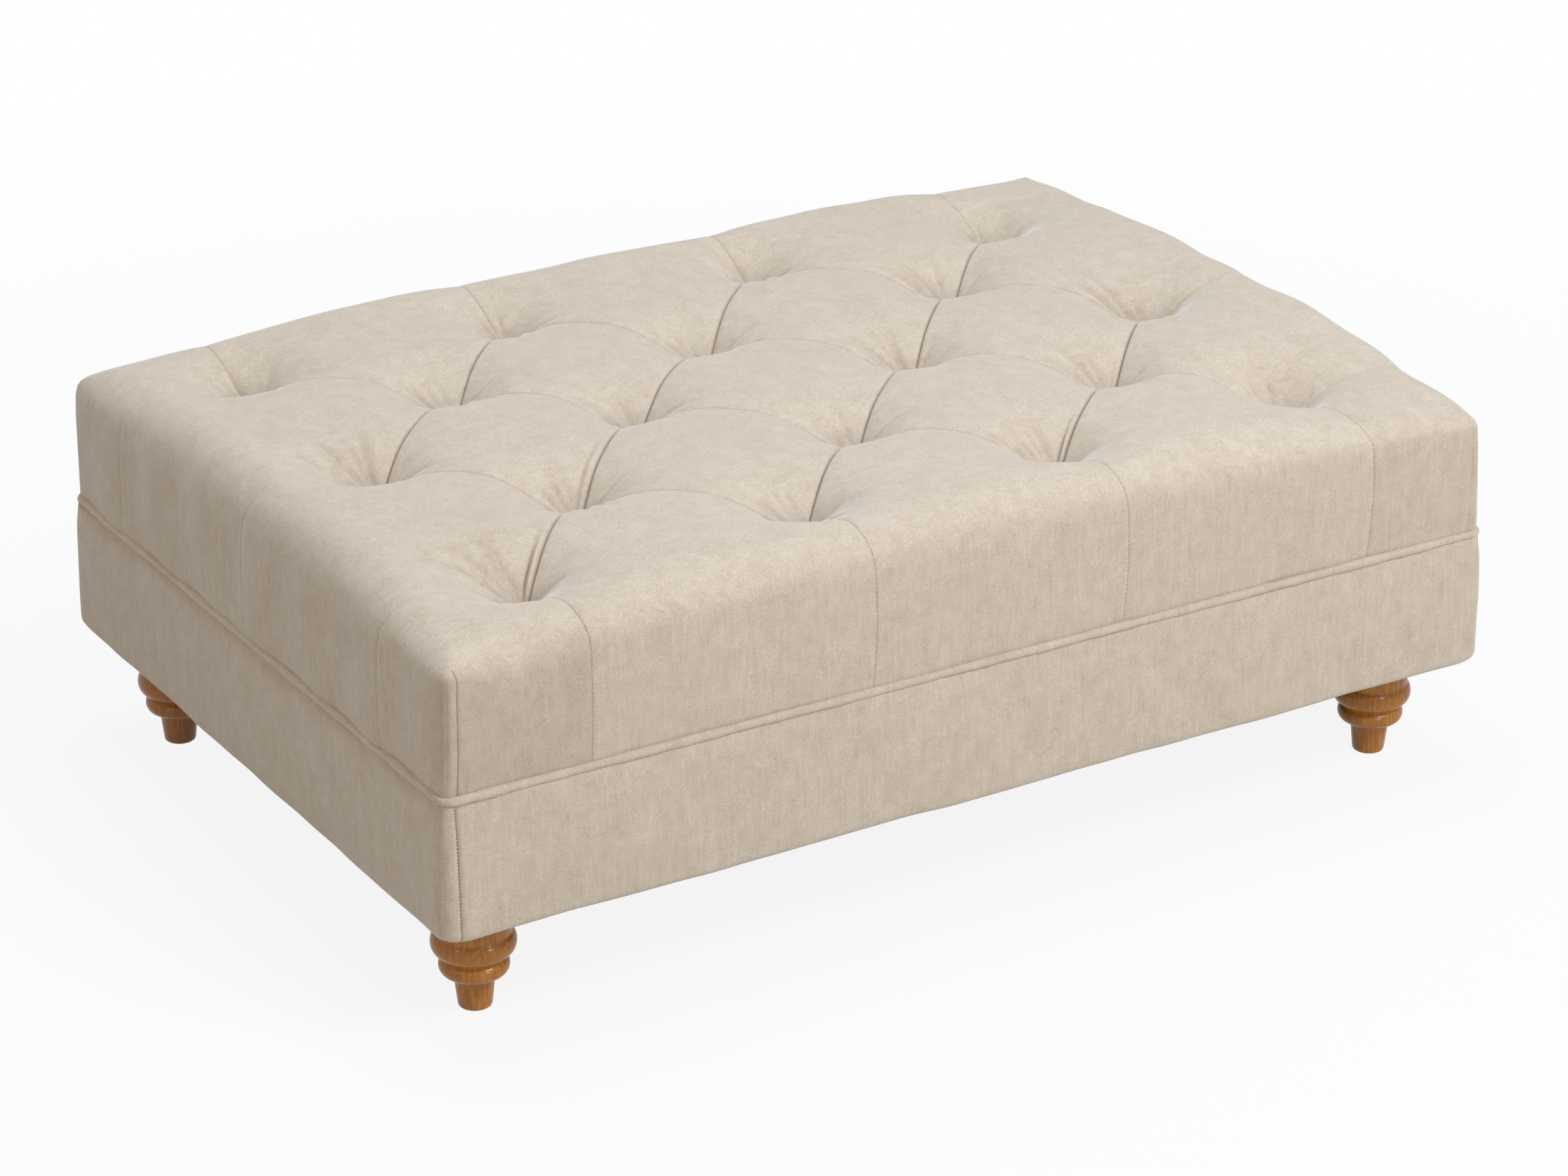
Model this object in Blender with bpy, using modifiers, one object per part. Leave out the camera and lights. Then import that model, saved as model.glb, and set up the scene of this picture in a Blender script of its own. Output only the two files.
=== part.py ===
# Upholstered bench: a deep-tufted footstool cushion on a padded box base with four turned feet.
# Metres, +Z up, origin on the floor at the middle of the bench, +X along its length, front at -Y.
import math

import bmesh
import bpy
from mathutils import Matrix, Vector

# Driving dimensions
LENGTH = 1.110
WIDTH = 0.773
FOOT_HEIGHT = 0.1092
BORDER_HEIGHT = 0.1283
CUSHION_HEIGHT = 0.1165
EDGE_RISE = 0.035
CROWN = 0.001
PIPING_DIAMETER = 0.008
TUFT_PITCH_X = 0.286
TUFT_PITCH_Y = 0.135
TUFT_DEPTH = 0.033
CLEFT_DEPTH = 0.011
SEAM_DEPTH = 0.005
SEAT_SETBACK = 0.003
SIDE_BELLY = 0.001
TUFT_REACH = 0.055
CLEFT_REACH = 0.045
SEAM_REACH = 0.024
EDGE_ROLL = 0.050
CORNER_ROLL = 0.016
CORNER_RADIUS = 0.014
PIPING_CORNER = 0.012
FABRIC = 0.0015
WADDING = 0.008
BORDER_PADDING = 0.005
BORDER_CORNER = 0.012
BORDER_TURN_IN = 0.025
DUST_COVER = 0.001
RAIL_THICKNESS = 0.022
BOARD_THICKNESS = 0.015
CROSS_RAIL_WIDTH = 0.020
CROSS_RAIL_DEPTH = 0.045
CORNER_BLOCK_HEIGHT = 0.045
FOOT_INSET_X = 0.064
FOOT_INSET_Y = 0.077
FOOT_RING_RADIUS = 0.0382
FOOT_RING_HEIGHT = 0.028
FOOT_COLLAR_RADIUS = 0.0316
FOOT_COLLAR_HEIGHT = 0.022
FOOT_NECK_RADIUS = 0.031
FOOT_PEG_RADIUS = 0.018
FOOT_PEG_HEIGHT = 0.026
FOOT_TIP_RADIUS = 0.0156
BOLT_RADIUS = 0.004
BOLT_IN_FOOT = 0.035
SCREW_RADIUS = 0.002
SCREW_LENGTH = 0.038
SCREW_HEAD_RADIUS = 0.0046
SCREW_HEAD_DEPTH = 0.004
T_NUT_RADIUS = 0.011
T_NUT_FLANGE = 0.0015
T_NUT_WALL = 0.001
T_NUT_BARREL = 0.009
BOLT_SHOWING = 0.004
TWINE_RADIUS = 0.0015
KNOT_RADIUS = 0.006
KNOT_HEIGHT = 0.007
TOGGLE_RADIUS = 0.014
TOGGLE_THICKNESS = 0.003
CLEARANCE = 0.0003

# Half sizes and heights that follow from them
HALF_X = LENGTH / 2
HALF_Y = WIDTH / 2
Z_DUST = FOOT_HEIGHT + CLEARANCE
Z_BORDER = Z_DUST + DUST_COVER + CLEARANCE
Z_RAIL = Z_BORDER + FABRIC + CLEARANCE
Z_SEAT = Z_BORDER + BORDER_HEIGHT
Z_BOARD = Z_SEAT - BOARD_THICKNESS
PIPING_RADIUS = PIPING_DIAMETER / 2
Z_PIPING = Z_SEAT + CLEARANCE + PIPING_RADIUS
Z_COVER = Z_PIPING + PIPING_RADIUS + CLEARANCE
Z_EQUATOR = Z_COVER + CUSHION_HEIGHT * 5 / 6
Z_CORNER = Z_COVER + CUSHION_HEIGHT
EDGE_X = HALF_X - SEAT_SETBACK
EDGE_Y = HALF_Y - SEAT_SETBACK
FRAME_INSET = FABRIC + BORDER_PADDING + 2 * CLEARANCE
RAIL_X = HALF_X - FRAME_INSET
RAIL_Y = HALF_Y - FRAME_INSET
FOOT_X = HALF_X - FOOT_INSET_X
FOOT_Y = HALF_Y - FOOT_INSET_Y
BOLT_HOLE = BOLT_RADIUS + T_NUT_WALL + 2 * CLEARANCE
TIE_HOLE = KNOT_RADIUS + 0.002
TWINE_HOLE = TWINE_RADIUS + 0.002

TUFTS = []
for row in range(-2, 3):
    shift = 0.5 if row % 2 == 0 else 0.0
    for column in range(-2, 2):
        tuft_x = (column + shift) * TUFT_PITCH_X
        if row % 2 == 0 or column > -2:
            TUFTS.append((tuft_x, row * TUFT_PITCH_Y))

for old in list(bpy.data.objects):
    bpy.data.objects.remove(old, do_unlink=True)

bench = bpy.data.collections.new("upholstered_bench")
cutters = bpy.data.collections.new("cutters")
bpy.context.scene.collection.children.link(bench)
bpy.context.scene.collection.children.link(cutters)


def material(name, colour, roughness, metallic=0.0):
    made = bpy.data.materials.new(name)
    made.use_nodes = True
    shader = made.node_tree.nodes["Principled BSDF"]
    shader.inputs["Base Color"].default_value = (*colour, 1.0)
    shader.inputs["Roughness"].default_value = roughness
    shader.inputs["Metallic"].default_value = metallic
    made.diffuse_color = (*colour, 1.0)
    return made


VELVET = material("beige_velvet", (0.65, 0.59, 0.51), 0.9)
FOAM = material("cream_foam", (0.80, 0.72, 0.48), 0.95)
FIBRE = material("white_wadding", (0.86, 0.86, 0.84), 0.95)
BEECH = material("stained_beech", (0.32, 0.14, 0.05), 0.35)
PINE = material("raw_pine", (0.62, 0.45, 0.25), 0.7)
PLYWOOD = material("birch_plywood", (0.66, 0.50, 0.30), 0.65)
NONWOVEN = material("black_nonwoven", (0.02, 0.02, 0.02), 0.9)
STEEL = material("zinc_steel", (0.62, 0.62, 0.60), 0.35, 1.0)
TWINE = material("waxed_twine", (0.50, 0.40, 0.26), 0.8)


def place(name, data, look, home=bench):
    thing = bpy.data.objects.new(name, data)
    home.objects.link(thing)
    if look is not None:
        data.materials.append(look)
    return thing


def from_bmesh(name, bm, look, home=bench):
    mesh = bpy.data.meshes.new(name)
    bm.to_mesh(mesh)
    bm.free()
    return place(name, mesh, look, home)


def cutter(name, bm):
    tool = from_bmesh(name, bm, None, cutters)
    tool.hide_render = True
    tool.display_type = "WIRE"
    return tool


def cut(thing, tool, how="DIFFERENCE"):
    boolean = thing.modifiers.new(how.lower() + "_" + tool.name, "BOOLEAN")
    boolean.operation = how
    boolean.solver = "EXACT"
    boolean.object = tool


def box(name, size, centre, look, home=bench):
    bm = bmesh.new()
    bmesh.ops.create_cube(bm, size=1.0)
    bmesh.ops.scale(bm, vec=size, verts=bm.verts)
    thing = from_bmesh(name, bm, look, home)
    thing.location = centre
    return thing


def ease(thing, width):
    bevel = thing.modifiers.new("eased_edges", "BEVEL")
    bevel.width = width
    bevel.segments = 1
    bevel.limit_method = "ANGLE"


def turned(name, profile, look, steps, closed=False, home=bench):
    bm = bmesh.new()
    points = [bm.verts.new((radius, 0.0, z)) for radius, z in profile]
    for first, second in zip(points, points[1:]):
        bm.edges.new((first, second))
    if closed:
        bm.edges.new((points[-1], points[0]))
    thing = from_bmesh(name, bm, look, home)
    screw = thing.modifiers.new("turn", "SCREW")
    screw.steps = steps
    screw.render_steps = steps
    screw.use_merge_vertices = True
    screw.merge_threshold = 0.00002
    screw.use_smooth_shade = True
    return thing


def rods(name, places, radius, low, high, sides=10):
    bm = bmesh.new()
    for x, y in places:
        shift = Matrix.Translation((x, y, (low + high) / 2))
        bmesh.ops.create_cone(bm, cap_ends=True, segments=sides, radius1=radius, radius2=radius,
                              depth=high - low, matrix=shift)
    return cutter(name, bm)


def rounded_rectangle(half_x, half_y, radius, steps):
    points = []
    for quarter in range(4):
        sign_x = (1, -1, -1, 1)[quarter]
        sign_y = (1, 1, -1, -1)[quarter]
        for step in range(steps + 1):
            turn = math.pi / 2 * (quarter + step / steps)
            x = sign_x * (half_x - radius) + radius * math.cos(turn)
            y = sign_y * (half_y - radius) + radius * math.sin(turn)
            points.append((x, y))
    return points


def add_outline(curve, points):
    spline = curve.splines.new("POLY")
    spline.points.add(len(points) - 1)
    for point, (x, y) in zip(spline.points, points):
        point.co = (x, y, 0.0, 1.0)
    spline.use_cyclic_u = True


def plate(name, outlines, bottom, thickness, look):
    curve = bpy.data.curves.new(name, "CURVE")
    curve.dimensions = "2D"
    curve.fill_mode = "BOTH"
    curve.extrude = thickness / 2
    for outline in outlines:
        add_outline(curve, outline)
    thing = place(name, curve, look)
    thing.location.z = bottom + thickness / 2
    return thing


def circle(x, y, radius, sides):
    turns = [2 * math.pi * side / sides for side in range(sides)]
    return [(x + radius * math.cos(turn), y + radius * math.sin(turn)) for turn in turns]


# The stuffed top: panels between the tufts, in plan, each panel split into four-sided patches.
SEAM_STEPS = (0.0, 0.16, 0.5, 0.84, 1.0)
MARGIN_STEPS = (0.0, 0.28, 0.62, 0.88, 1.0)
SIDE_RINGS = 2


def panel_patches():
    a = TUFT_PITCH_X
    b = TUFT_PITCH_Y
    patches = []
    whole = [(-a / 2, b), (a / 2, b), (-a, 0.0), (0.0, 0.0), (a, 0.0), (-a / 2, -b), (a / 2, -b)]
    for x, y in whole:
        corners = ((x - a / 2, y), (x, y - b), (x + a / 2, y), (x, y + b))
        patches.append((corners, SEAM_STEPS, SEAM_STEPS))
    for side in (-1, 1):
        for x in (-a, 0.0, a):
            for way in (-1, 1):
                tuft = (x + way * a / 2, side * 2 * b)
                corners = (tuft, (x, side * b), (x, side * EDGE_Y), (tuft[0], side * EDGE_Y))
                patches.append((corners, SEAM_STEPS, MARGIN_STEPS))
        for y in (-b, b):
            for way in (-1, 1):
                tuft = (side * 1.5 * a, y + way * b)
                corners = (tuft, (side * a, y), (side * EDGE_X, y), (side * EDGE_X, tuft[1]))
                patches.append((corners, SEAM_STEPS, MARGIN_STEPS))
        for end in (-1, 1):
            tuft = (end * 1.5 * a, side * 2 * b)
            corners = (tuft, (tuft[0], side * EDGE_Y), (end * EDGE_X, side * EDGE_Y), (end * EDGE_X, tuft[1]))
            patches.append((corners, MARGIN_STEPS, MARGIN_STEPS))
    return patches


def seam_lines():
    a = TUFT_PITCH_X
    b = TUFT_PITCH_Y
    lines = []
    for x, y in TUFTS:
        for side in (-1, 1):
            for other in TUFTS:
                if abs(other[0] - x - a / 2) < 1e-6 and abs(other[1] - y - side * b) < 1e-6:
                    lines.append(((x, y), other, True))
            if abs(y - side * 2 * b) < 1e-6:
                lines.append(((x, y), (x, side * EDGE_Y), False))
            if abs(x - side * 1.5 * a) < 1e-6:
                lines.append(((x, y), (side * EDGE_X, y), False))
    return lines


LINES = seam_lines()


def pull(x, y, down):
    # How far the tufts and seams pull the cover in; down runs from 0 on top to 1 at the piping.
    total = 0.0
    for tuft_x, tuft_y in TUFTS:
        reach = math.hypot(x - tuft_x, y - tuft_y)
        total += math.exp(-4 * (reach / TUFT_REACH) ** 1.3)
    funnel = TUFT_DEPTH * total ** 0.25
    total = 0.0
    for start, end, between in LINES:
        run = Vector(end) - Vector(start)
        share = (Vector((x, y)) - Vector(start)).dot(run) / run.length_squared
        share = min(1.0, max(0.0, share))
        away = (Vector((x, y)) - Vector(start) - run * share).length
        along = run.length * (min(share, 1 - share) if between else share)
        depth = SEAM_DEPTH + CLEFT_DEPTH * math.exp(-along / CLEFT_REACH)
        if not between:
            depth = depth * (1 - 0.75 * share)
        total += (depth * math.exp(-away / SEAM_REACH)) ** 4
    seam = total ** 0.25
    return (funnel + seam) * (1 - 0.85 * down) ** 1.5


def plan_corner(x, y, half_x, half_y, radius):
    # Rounds the corner of the plan by drawing its square corner onto a quarter disc.
    over_x = abs(x) - (half_x - radius)
    over_y = abs(y) - (half_y - radius)
    if over_x <= 0 or over_y <= 0:
        return x, y
    scale = max(over_x, over_y) / math.hypot(over_x, over_y)
    new_x = half_x - radius + over_x * scale
    new_y = half_y - radius + over_y * scale
    return math.copysign(new_x, x), math.copysign(new_y, y)


def top_height(x, y):
    share_x = min(1.0, abs(x) / EDGE_X)
    share_y = min(1.0, abs(y) / EDGE_Y)
    away = 1 - (share_x * share_y) ** 3
    edge = min(EDGE_X - abs(x), EDGE_Y - abs(y))
    roll = CORNER_ROLL + (EDGE_ROLL - CORNER_ROLL) * away
    turn = min(1.0, max(0.0, edge / roll))
    level = Z_CORNER + EDGE_RISE * away + CROWN * (1 - share_x ** 2) * (1 - share_y ** 2)
    return Z_EQUATOR + (level - Z_EQUATOR) * math.sqrt(1 - (1 - turn) ** 2)


def cushion_skin(inset, bottom):
    # The stuffed surface, open below, moved inwards by inset along its own normals.
    bm = bmesh.new()
    for corners, steps_u, steps_v in panel_patches():
        count_u = len(steps_u) - 1
        count_v = len(steps_v) - 1
        grid = bmesh.ops.create_grid(bm, x_segments=count_u, y_segments=count_v, size=0.5)
        for vert in grid["verts"]:
            u = steps_u[round((vert.co.x + 0.5) * count_u)]
            v = steps_v[round((vert.co.y + 0.5) * count_v)]
            low = Vector(corners[0]).lerp(Vector(corners[1]), u)
            high = Vector(corners[3]).lerp(Vector(corners[2]), u)
            spot = low.lerp(high, v)
            vert.co = (spot.x, spot.y, 0.0)
    bmesh.ops.remove_doubles(bm, verts=bm.verts, dist=1e-6)
    for face in bm.faces:
        face.normal_update()
        if face.normal.z < 0:
            face.normal_flip()
    fall = {vert: 0.0 for vert in bm.verts}
    flat = {vert: (vert.co.x, vert.co.y) for vert in bm.verts}
    edges = [edge for edge in bm.edges if edge.is_boundary]
    for ring in range(1, SIDE_RINGS + 1):
        made = bmesh.ops.extrude_edge_only(bm, edges=edges)["geom"]
        fresh = [item for item in made if isinstance(item, bmesh.types.BMVert)]
        for vert in fresh:
            flat[vert] = (vert.co.x, vert.co.y)
            fall[vert] = ring / SIDE_RINGS
        edges = [edge for edge in bm.edges if edge.is_boundary]
    for vert in bm.verts:
        x, y = flat[vert]
        if fall[vert] == 0.0:
            z = top_height(x, y)
            inwards = 0.0
        else:
            z = Z_EQUATOR + (Z_COVER - Z_EQUATOR) * fall[vert]
            inwards = SIDE_BELLY * (1 - math.cos(math.pi / 2 * fall[vert]))
        x, y = plan_corner(x, y, EDGE_X, EDGE_Y, CORNER_RADIUS)
        vert.co = (x * (1 - inwards / EDGE_X), y * (1 - inwards / EDGE_Y), z)
    bm.normal_update()
    pulled = {}
    for vert in bm.verts:
        pulled[vert] = vert.co - vert.normal * pull(*flat[vert], fall[vert])
    for vert in bm.verts:
        vert.co = pulled[vert]
    bmesh.ops.triangulate(bm, faces=bm.faces)
    bm.normal_update()
    moved = {vert: vert.co - vert.normal * inset for vert in bm.verts}
    for vert in bm.verts:
        vert.co = moved[vert]
        if fall[vert] == 1.0:
            vert.co.z = bottom
    return bm


def solid_from_skin(name, inset, bottom, thickness, look):
    thing = from_bmesh(name, cushion_skin(inset, bottom), look)
    solidify = thing.modifiers.new("thickness", "SOLIDIFY")
    solidify.thickness = thickness
    solidify.offset = -1.0
    solidify.use_even_offset = False
    thing.data.shade_smooth()
    return thing


tie_holes = rods("tie_holes", TUFTS, TIE_HOLE, Z_BOARD, Z_CORNER + 0.05, 6)

solid_from_skin("seat_cover", 0.0, Z_COVER, FABRIC, VELVET)

wadding = solid_from_skin("wadding_layer", FABRIC + CLEARANCE, Z_COVER, WADDING, FIBRE)
cut(wadding, tie_holes)

pad = cushion_skin(FABRIC + WADDING + 3.5 * CLEARANCE, Z_SEAT + CLEARANCE)
bmesh.ops.holes_fill(pad, edges=[edge for edge in pad.edges if edge.is_boundary], sides=0)
foam = from_bmesh("foam_pad", pad, FOAM)
cut(foam, tie_holes)

# Tuft ties: a knot under the cover, twine through the foam and the board, a toggle disc below.
for number, (x, y) in enumerate(TUFTS, start=1):
    top = top_height(x, y) - pull(x, y, 0.0) - FABRIC - CLEARANCE
    under = Z_BOARD - CLEARANCE
    profile = [(0.0, top), (KNOT_RADIUS, top - KNOT_HEIGHT / 7), (KNOT_RADIUS * 0.6, top - KNOT_HEIGHT * 0.7),
               (TWINE_RADIUS, top - KNOT_HEIGHT), (TWINE_RADIUS, under), (TOGGLE_RADIUS, under),
               (TOGGLE_RADIUS, under - TOGGLE_THICKNESS), (0.0, under - TOGGLE_THICKNESS)]
    tie = turned("tuft_tie_%02d" % number, profile, TWINE, 6)
    tie.location = (x, y, 0.0)

# Piping: one closed welt cord round the joint between the seat and the base.
cord = bpy.data.curves.new("piping", "CURVE")
cord.dimensions = "3D"
cord.bevel_depth = PIPING_RADIUS
cord.bevel_resolution = 2
cord.use_fill_caps = True
cord_inset = SEAT_SETBACK + SIDE_BELLY + FABRIC / 2
add_outline(cord, rounded_rectangle(HALF_X - cord_inset, HALF_Y - cord_inset, PIPING_CORNER, 4))
piping = place("piping", cord, VELVET)
piping.location.z = Z_PIPING

# Border cover of the base: four sewn panels, each a wall with its lower edge turned in.
HEM_ROUND = FABRIC + 0.7 * BORDER_PADDING
for side, (way_x, way_y) in (("front", (0, -1)), ("back", (0, 1)), ("left", (-1, 0)), ("right", (1, 0))):
    bm = bmesh.new()
    bmesh.ops.create_cube(bm, size=1.0)
    bmesh.ops.scale(bm, vec=(LENGTH, WIDTH, BORDER_HEIGHT), verts=bm.verts)
    bmesh.ops.translate(bm, vec=(0, 0, Z_BORDER + BORDER_HEIGHT / 2), verts=bm.verts)
    lid = [face for face in bm.faces if face.normal.z > 0.5]
    bmesh.ops.delete(bm, geom=lid, context="FACES_ONLY")
    floor = [face for face in bm.faces if face.normal.z < -0.5]
    bmesh.ops.inset_region(bm, faces=floor, thickness=BORDER_TURN_IN, use_even_offset=True)
    bmesh.ops.delete(bm, geom=floor, context="FACES_ONLY")
    upright = [edge for edge in bm.edges if abs(edge.verts[0].co.z - edge.verts[1].co.z) > BORDER_HEIGHT / 2]
    bmesh.ops.bevel(bm, geom=upright, offset=BORDER_CORNER, segments=4, profile=0.5, affect="EDGES")
    panel = from_bmesh("border_" + side, bm, VELVET)
    bevel = panel.modifiers.new("rounded_edges", "BEVEL")
    bevel.width = HEM_ROUND
    bevel.segments = 2
    bevel.limit_method = "ANGLE"
    bevel.angle_limit = math.radians(60)
    solidify = panel.modifiers.new("thickness", "SOLIDIFY")
    solidify.thickness = FABRIC
    solidify.offset = -1.0
    wedge = bmesh.new()
    reach = 0.1
    points = []
    for along, out in ((-1, 1), (1, 1), (1, -1), (-1, -1)):
        if way_y:
            half = HALF_X - CLEARANCE + out * reach
            points.append((along * half, way_y * (HALF_Y + out * reach)))
        else:
            half = HALF_Y - CLEARANCE + out * reach
            points.append((way_x * (HALF_X + out * reach), along * half))
    ends = []
    for level in (FOOT_HEIGHT - reach, Z_SEAT + reach):
        ends.append([wedge.verts.new((x, y, level)) for x, y in points])
    wedge.faces.new(ends[0])
    wedge.faces.new(ends[1])
    for index in range(4):
        after = (index + 1) % 4
        wedge.faces.new((ends[0][index], ends[0][after], ends[1][after], ends[1][index]))
    bmesh.ops.recalc_face_normals(wedge, faces=wedge.faces)
    cut(panel, cutter("mitre_" + side, wedge), "INTERSECT")

# Padding ring between the border cover and the rails.
inset = FABRIC + CLEARANCE
ring_bottom = Z_BORDER + HEM_ROUND + CLEARANCE
plate("border_padding", [rounded_rectangle(HALF_X - inset, HALF_Y - inset, BORDER_CORNER - inset, 4),
                         rounded_rectangle(RAIL_X + CLEARANCE, RAIL_Y + CLEARANCE, 0.0004, 1)],
      ring_bottom, Z_SEAT - ring_bottom, FIBRE)

# Base frame: rails, cross rails, corner blocks and the drilled board.
rail_height = Z_BOARD - CLEARANCE - Z_RAIL
rail_middle = Z_RAIL + rail_height / 2
inner_x = RAIL_X - RAIL_THICKNESS
inner_y = RAIL_Y - RAIL_THICKNESS
block_x = 2 * (inner_x - CLEARANCE - FOOT_X)
block_y = 2 * (inner_y - CLEARANCE - FOOT_Y)
screw_level = Z_RAIL + CORNER_BLOCK_HEIGHT / 2
screw_y = FOOT_Y - block_y / 4


def screw_cutter(name, x, y, turn):
    # Clearance hole for a screw whose head lies flush at (x, y).
    wide = SCREW_HEAD_RADIUS + CLEARANCE
    slim = SCREW_RADIUS + CLEARANCE
    sunk = SCREW_HEAD_DEPTH + CLEARANCE
    profile = [(0.0, 0.002), (wide, 0.002), (wide, -sunk), (slim, -sunk), (slim, -SCREW_LENGTH - 0.001),
               (0.0, -SCREW_LENGTH - 0.001)]
    tool = turned(name, profile, None, 8, home=cutters)
    tool.location = (x, y, screw_level)
    tool.rotation_euler = turn
    tool.hide_render = True
    tool.display_type = "WIRE"
    return tool


rails = {}
rails["front"] = box("front_rail", (2 * RAIL_X, RAIL_THICKNESS, rail_height),
                     (0, -RAIL_Y + RAIL_THICKNESS / 2, rail_middle), PINE)
rails["back"] = box("back_rail", (2 * RAIL_X, RAIL_THICKNESS, rail_height),
                    (0, RAIL_Y - RAIL_THICKNESS / 2, rail_middle), PINE)
end_length = 2 * (inner_y - CLEARANCE)
rails["left"] = box("left_rail", (RAIL_THICKNESS, end_length, rail_height),
                    (-RAIL_X + RAIL_THICKNESS / 2, 0, rail_middle), PINE)
rails["right"] = box("right_rail", (RAIL_THICKNESS, end_length, rail_height),
                     (RAIL_X - RAIL_THICKNESS / 2, 0, rail_middle), PINE)

for side, way in (("left", -1), ("right", 1)):
    length = 2 * (inner_y - CLEARANCE)
    beam = box("cross_rail_" + side, (CROSS_RAIL_WIDTH, length, CROSS_RAIL_DEPTH),
               (way * 0.75 * TUFT_PITCH_X, 0, Z_BOARD - CLEARANCE - CROSS_RAIL_DEPTH / 2), PINE)
    ease(beam, 0.002)

holes = [circle(x, y, TWINE_HOLE, 6) for x, y in TUFTS]
plate("top_board", [rounded_rectangle(RAIL_X, RAIL_Y, 0.002, 1)] + holes, Z_BOARD, BOARD_THICKNESS, PLYWOOD)

foot_places = {}
for depth, way_y in (("front", -1), ("back", 1)):
    for side, way_x in (("left", -1), ("right", 1)):
        foot_places[depth + "_" + side] = (way_x, way_y)

bolt_holes = rods("bolt_holes", [(x * FOOT_X, y * FOOT_Y) for x, y in foot_places.values()], BOLT_HOLE,
                  FOOT_HEIGHT, Z_SEAT, 12)

dust_inset = BORDER_TURN_IN * 0.5
holes = [circle(x * FOOT_X, y * FOOT_Y, BOLT_HOLE, 12) for x, y in foot_places.values()]
plate("dust_cover", [rounded_rectangle(HALF_X - dust_inset, HALF_Y - dust_inset, 0.004, 1)] + holes,
      Z_DUST, DUST_COVER, NONWOVEN)

# Turned foot, from the bolt bore over the neck and the two rings down to the tapered peg.
def foot_profile():
    bore = BOLT_RADIUS + CLEARANCE
    notch = FOOT_PEG_HEIGHT + FOOT_COLLAR_HEIGHT
    shoulder = notch + FOOT_RING_HEIGHT
    edge = 0.1 * FOOT_NECK_RADIUS
    points = [(0.0, FOOT_HEIGHT - BOLT_IN_FOOT), (bore, FOOT_HEIGHT - BOLT_IN_FOOT), (bore, FOOT_HEIGHT)]
    points += [(FOOT_NECK_RADIUS - edge, FOOT_HEIGHT), (FOOT_NECK_RADIUS, FOOT_HEIGHT - edge)]
    points += [(FOOT_NECK_RADIUS, shoulder)]
    bead = 0.45 * FOOT_RING_HEIGHT
    for step in range(6):
        turn = math.radians(62 - 30 * step)
        radius = FOOT_RING_RADIUS - 0.85 * bead + 0.85 * bead * math.cos(turn)
        points.append((radius, notch + 0.58 * FOOT_RING_HEIGHT + bead * math.sin(turn)))
    bead = 0.42 * FOOT_COLLAR_HEIGHT
    for step in range(5):
        turn = math.radians(42 - 30 * step)
        radius = FOOT_COLLAR_RADIUS - bead + bead * math.cos(turn)
        points.append((radius, FOOT_PEG_HEIGHT + 0.70 * FOOT_COLLAR_HEIGHT + bead * math.sin(turn)))
    points += [(FOOT_PEG_RADIUS + 0.1 * bead, FOOT_PEG_HEIGHT + 0.15 * FOOT_COLLAR_HEIGHT)]
    points += [(FOOT_PEG_RADIUS, FOOT_PEG_HEIGHT)]
    edge = 0.15 * FOOT_TIP_RADIUS
    points += [(FOOT_TIP_RADIUS, 1.5 * edge), (FOOT_TIP_RADIUS - 0.4 * edge, 0.4 * edge)]
    points += [(FOOT_TIP_RADIUS - edge, 0.0), (0.0, 0.0)]
    return points


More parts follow.
